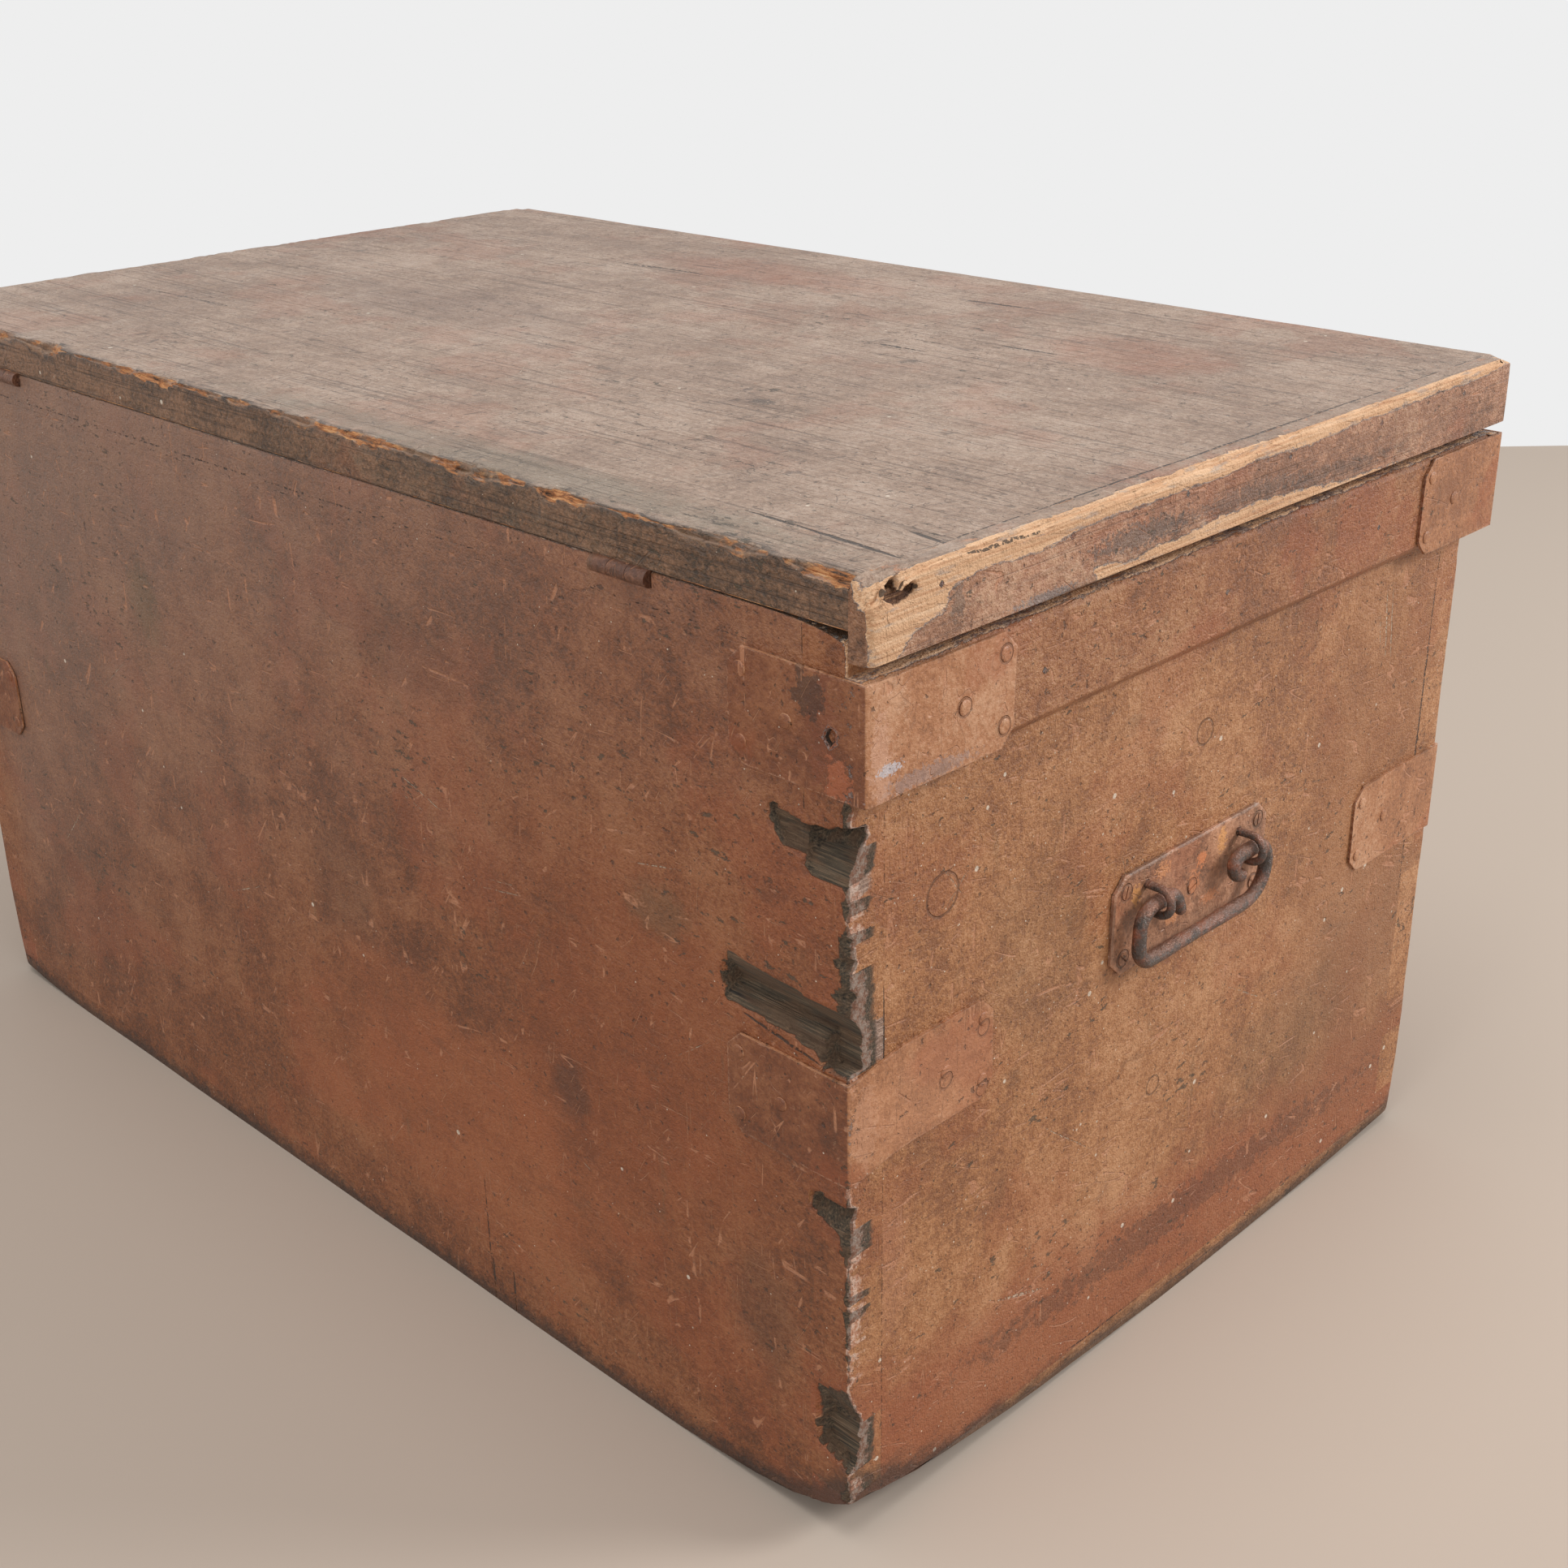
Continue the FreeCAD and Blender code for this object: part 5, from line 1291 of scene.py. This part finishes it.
strap_paint = painted("strap_paint", "", STRAP_SIDE, STRAP_END, STRAP_END, 0.4, 0.48, rim=RIM,
                      under=IRON_UNDER, blotches=STRAP_BLOTCHES, rings=STRAP_RINGS, fibre=0,
                      torn_tones=HOLE_SHADE_TONES)
plate_paint = painted("plate_paint", "", STRAP_SIDE, PLATE, PLATE, 0.3, 0.48, rim=RIM,
                      under=IRON_UNDER, blotches=PLATE_BLOTCHES, rings=PLATE_RINGS, fibre=0,
                      rim_share=1.4)
handle_iron = rusty_iron("handle_iron", tone(72, 57, 49), tone(168, 116, 88), 0.5)
dark_iron = rusty_iron("dark_iron", tone(70, 54, 48), tone(120, 78, 58), 0.3)


# Carcass boards.

def board(name, body, slot, material, wear, u_cuts=(), v_cuts=(), w_cuts=(), local=(), rims=False):
    """A frame board cut into a fine grid; local adds cuts only near the damaged corner."""
    mesh = clean_copy(name)
    for axis, places in enumerate((u_cuts, v_cuts, w_cuts)):
        slice_across(mesh, axis, places)
    for axis, places in local:
        slice_across(mesh, axis, places, CORNER_REACH)
    make_piece(mesh, name + "_worn", body, material, wear, (name,), rims=rims)


levels = (("lower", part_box("back_lower_board")[0].z / MM, COURSE_JOINT),
          ("upper", COURSE_JOINT, BODY_TOP))
for course, low, high in levels:
    u_cuts = near_edges(0, LENGTH) + every(100, LENGTH - 60, 40)
    w_cuts = [low + 0.7, low + 2, high - 0.7, high - 2] + every(low + 8, high - 8, 30)
    fine_w = every(low, high, 2.4)[1:-1]
    fine_u = every(2, CORNER_REACH, 2.6)
    for face in ("back", "front"):
        near = face == "back"
        board("%s_%s_board" % (face, course), "carcass", "brown_paint", back_paint, worn_body,
              u_cuts + ([CORNER_REACH] if near else []), [0.7, 2, WIDTH - 0.7, WIDTH - 2], w_cuts,
              [(0, fine_u), (2, fine_w)] if near else [])
    for end in ("left", "right"):
        near = end == "left"
        board("%s_end_%s_board" % (end, course), "carcass", "brown_paint", end_paint, worn_body,
              [0.7, 1.8, 3.5, 7, 11, 15, 19, 23] if near else [LENGTH - 0.7, LENGTH - 2],
              near_edges(0, WIDTH) + every(30, WIDTH - 30, 25) + (every(9, 30, 2.6) if near else []),
              w_cuts + (fine_w if near else []))

board("bottom_planks", "carcass", "planks", plank_wood, worn_body,
      near_edges(0, LENGTH) + every(12, LENGTH - 12, 30),
      near_edges(0, WIDTH) + every(12, WIDTH - 12, 30), [7])

skirt_w = [STRAP_BASE + reach for reach in (0.8, 2.5, 4.5, 7.5, 15, 30, 45, 53, 55.5, 57.5)]
for name in ("skirt_left", "skirt_right"):
    u_low = measured_box(name)[0][0]
    board(name, "carcass", "brown_paint", skirt_paint, worn_trim, [u_low + 2, u_low + 5, u_low + 8],
          near_edges(0, WIDTH) + every(12, WIDTH - 12, 12), skirt_w, rims=True)
board("skirt_front", "carcass", "brown_paint", skirt_paint, worn_trim, every(0, LENGTH, 12),
      [WIDTH + 2, WIDTH + 5, WIDTH + 8], skirt_w, rims=True)


# Straps, nails and handles.

def iron_cuts(low, high, pitch):
    """Cuts across sheet iron: two inside each edge and even ones between them."""
    return [low + 0.8, low + 2.2, high - 0.8, high - 2.2] + every(low + 4, high - 4, pitch)


for level, face, end in itertools.product(("upper", "middle"), ("back", "front"), ("left", "right")):
    name = "%s_strap_%s_%s" % (level, face, end)
    pitch = 2.4 if (face, end) == ("back", "left") else 6
    cuts = [iron_cuts(low, high, pitch) for low, high in zip(*measured_box(name))]
    if name == "upper_strap_back_left":
        cuts[0] += every(0.5, 17, 0.8)
        cuts[2] += every(452, 470, 0.8)
    board(name, "carcass", "painted_iron", strap_paint, worn_strap, *cuts, rims=True)

for end in ("left", "right"):
    name = end + "_handle_plate"
    low, high = measured_box(name)
    board(name, "carcass", "painted_iron", plate_paint, worn_strap, (), iron_cuts(low[1], high[1], 4),
          iron_cuts(low[2], high[2], 4), rims=True)
    name = end + "_bail"
    make_piece(bail_rod(end), name + "_worn", end + "_grip", handle_iron, worn_rod, (name,), 60)
make_piece(eye_wires(), "handle_eyes_worn", "carcass", handle_iron, worn_rod,
           ("handle_eyes",), 60)

nails = bmesh.new()
for number, (centre, outward, radius) in enumerate(head_places("strap_nails")):
    domed_head(nails, centre, outward, radius, NAIL_CROWN * MM, number)
make_piece(nails, "strap_nails_worn", "carcass", strap_paint, worn_nail,
           ("strap_nails",), 70)

screws = bmesh.new()
for number, (centre, outward, radius) in enumerate(head_places("plate_screws")):
    slotted_head(screws, centre, outward, radius * 1.15, 0.6 + 1.1 * number)
make_piece(screws, "plate_screws_worn", "carcass", plate_paint,
           replaces=("plate_screws",), smooth=30)


# Lid.

lid_u = near_edges(0, LENGTH) + every(9, 60, 3) + every(70, LENGTH - 20, 30)
ragged_u = near_edges(0, LENGTH) + every(8, LENGTH - 8, 3.5)
lid_w = [LID_UNDER + 0.7, LID_UNDER + 2, LID_TOP - 0.7, LID_TOP - 2, LID_TOP - 4, LID_TOP - 10]
for name in ("lid_back_board", "lid_middle_board", "lid_front_board"):
    low, high = [corner[1] for corner in measured_box(name)]
    at_back = low < 1
    v_cuts = every(low, high, 15)[1:-1] + near_edges(low, high) + (every(8, 42, 3) if at_back else [])
    board(name, "lid", "faded_paint", top_paint, worn_lid, ragged_u if at_back else lid_u, v_cuts,
          lid_w + [LID_TOP - 7, LID_TOP - 14])
for name in ("lid_left_strip", "lid_right_strip"):
    v_cuts = near_edges(0, WIDTH) + every(9, 110, 3) + every(114, WIDTH - 8, 4) + every(8.2, 36, 1.6)
    u_low = measured_box(name)[0][0]
    board(name, "lid", "brown_paint", strip_paint, worn_lid,
          [u_low + reach for reach in (1, 3, 6, 9, 11.3)], v_cuts,
          lid_w + every(498, 510, 3) + every(518.5, 531, 2))
board("lid_front_strip", "lid", "brown_paint", strip_paint, worn_lid, every(0, LENGTH, 5),
      [WIDTH + 1.7, WIDTH + 3, WIDTH + 6, WIDTH + 10], lid_w)


# Small pieces that keep the frame's own solid, with softened edges and a finish.

for name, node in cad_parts.items():
    if node.hide_render:
        continue
    if name == "end_plugs":
        finish = end_paint
    else:
        finish = hinge_paint if name.startswith("hinge") else dark_iron
    node.data.materials.clear()
    node.data.materials.append(finish)
    if name != "end_plugs":
        edge = node.modifiers.new("edge", "BEVEL")
        edge.width = SOFT_EDGE * MM
        edge.segments = 2


# Floor, light and camera. The floor ends where the photo's wall stands. The pale world stands in for
# the wall, so that the chest can be seen from every side.

WALL_DISTANCE, FLOOR_REACH = 1.67, 9
FLOOR_AWAY = Vector((0.7, -0.71, 0)).normalized()
FLOOR_ALONG = Vector((-FLOOR_AWAY.y, FLOOR_AWAY.x, 0)) * FLOOR_REACH
far_edge, near_edge = FLOOR_AWAY * WALL_DISTANCE, FLOOR_AWAY * -FLOOR_REACH
floor_paint = bpy.data.materials.new("floor_paint")
floor_paint.use_nodes = True
shader = floor_paint.node_tree.nodes["Principled BSDF"]
shader.inputs["Base Color"].default_value = tone(186, 171, 157)
shader.inputs["Roughness"].default_value = 0.8
data = bpy.data.meshes.new("floor")
data.from_pydata([far_edge + FLOOR_ALONG, near_edge + FLOOR_ALONG,
                  near_edge - FLOOR_ALONG, far_edge - FLOOR_ALONG], [], [(0, 1, 2, 3)])
plane = bpy.data.objects.new("floor", data)
bpy.context.scene.collection.objects.link(plane)
plane.data.materials.append(floor_paint)


def lamp(name, place, aim, size, power):
    light = bpy.data.lights.new(name, "AREA")
    light.shape = "DISK"
    light.size = size
    light.energy = power
    thing = bpy.data.objects.new(name, light)
    thing.location = place
    thing.rotation_euler = (Vector(aim) - Vector(place)).to_track_quat("-Z", "Y").to_euler()
    bpy.context.scene.collection.objects.link(thing)


lamp("window", (-2.7, -2.3, 2.1), (-0.3, 0, 0.3), 1.3, 96)
lamp("fill", (-0.6, 3.4, 1.7), (0, 0, 0.3), 1.8, 32)
lamp("ceiling", (-0.4, 0.7, 3.6), (0, 0.1, 0.3), 2.4, 42)

# The camera and the reflections see the world as bright as the photo's wall.
ROOM_LIGHT, WALL_LIGHT = 0.52, 0.855
world = bpy.data.worlds.new("room")
world.use_nodes = True
n = Nodes(world.node_tree)
seen = n.plus(n.add("LightPath", output="Is Camera Ray"), n.add("LightPath", output="Is Glossy Ray"))
seen = n.plus(seen, n.add("LightPath", output="Is Transmission Ray"), clamp=True)
strength = n.plus(ROOM_LIGHT, n.times(seen, WALL_LIGHT - ROOM_LIGHT))
background = world.node_tree.nodes["Background"]
background.inputs["Color"].default_value = (1, 1, 1, 1)
world.node_tree.links.new(strength, background.inputs["Strength"])
bpy.context.scene.world = world
bpy.context.scene.view_settings.view_transform = "Standard"

LENS = 47.154
SENSOR = 36
CAMERA_PLACE = Vector((END_FACE - 0.5631, BACK_FACE + 0.6056, 0.8095))
CAMERA_RIGHT = (-0.71374566, -0.70024859, -0.0148003)
CAMERA_UP = (0.27588937, -0.30050418, 0.91300728)
CAMERA_BACK = (-0.64377961, 0.64757174, 0.4076747)
camera_data = bpy.data.cameras.new("camera")
camera_data.lens = LENS
camera_data.sensor_width = SENSOR
camera = bpy.data.objects.new("camera", camera_data)
axes = Matrix((CAMERA_RIGHT, CAMERA_UP, CAMERA_BACK)).transposed()
camera.matrix_world = Matrix.Translation(CAMERA_PLACE) @ axes.to_4x4()
bpy.context.scene.collection.objects.link(camera)
bpy.context.scene.camera = camera
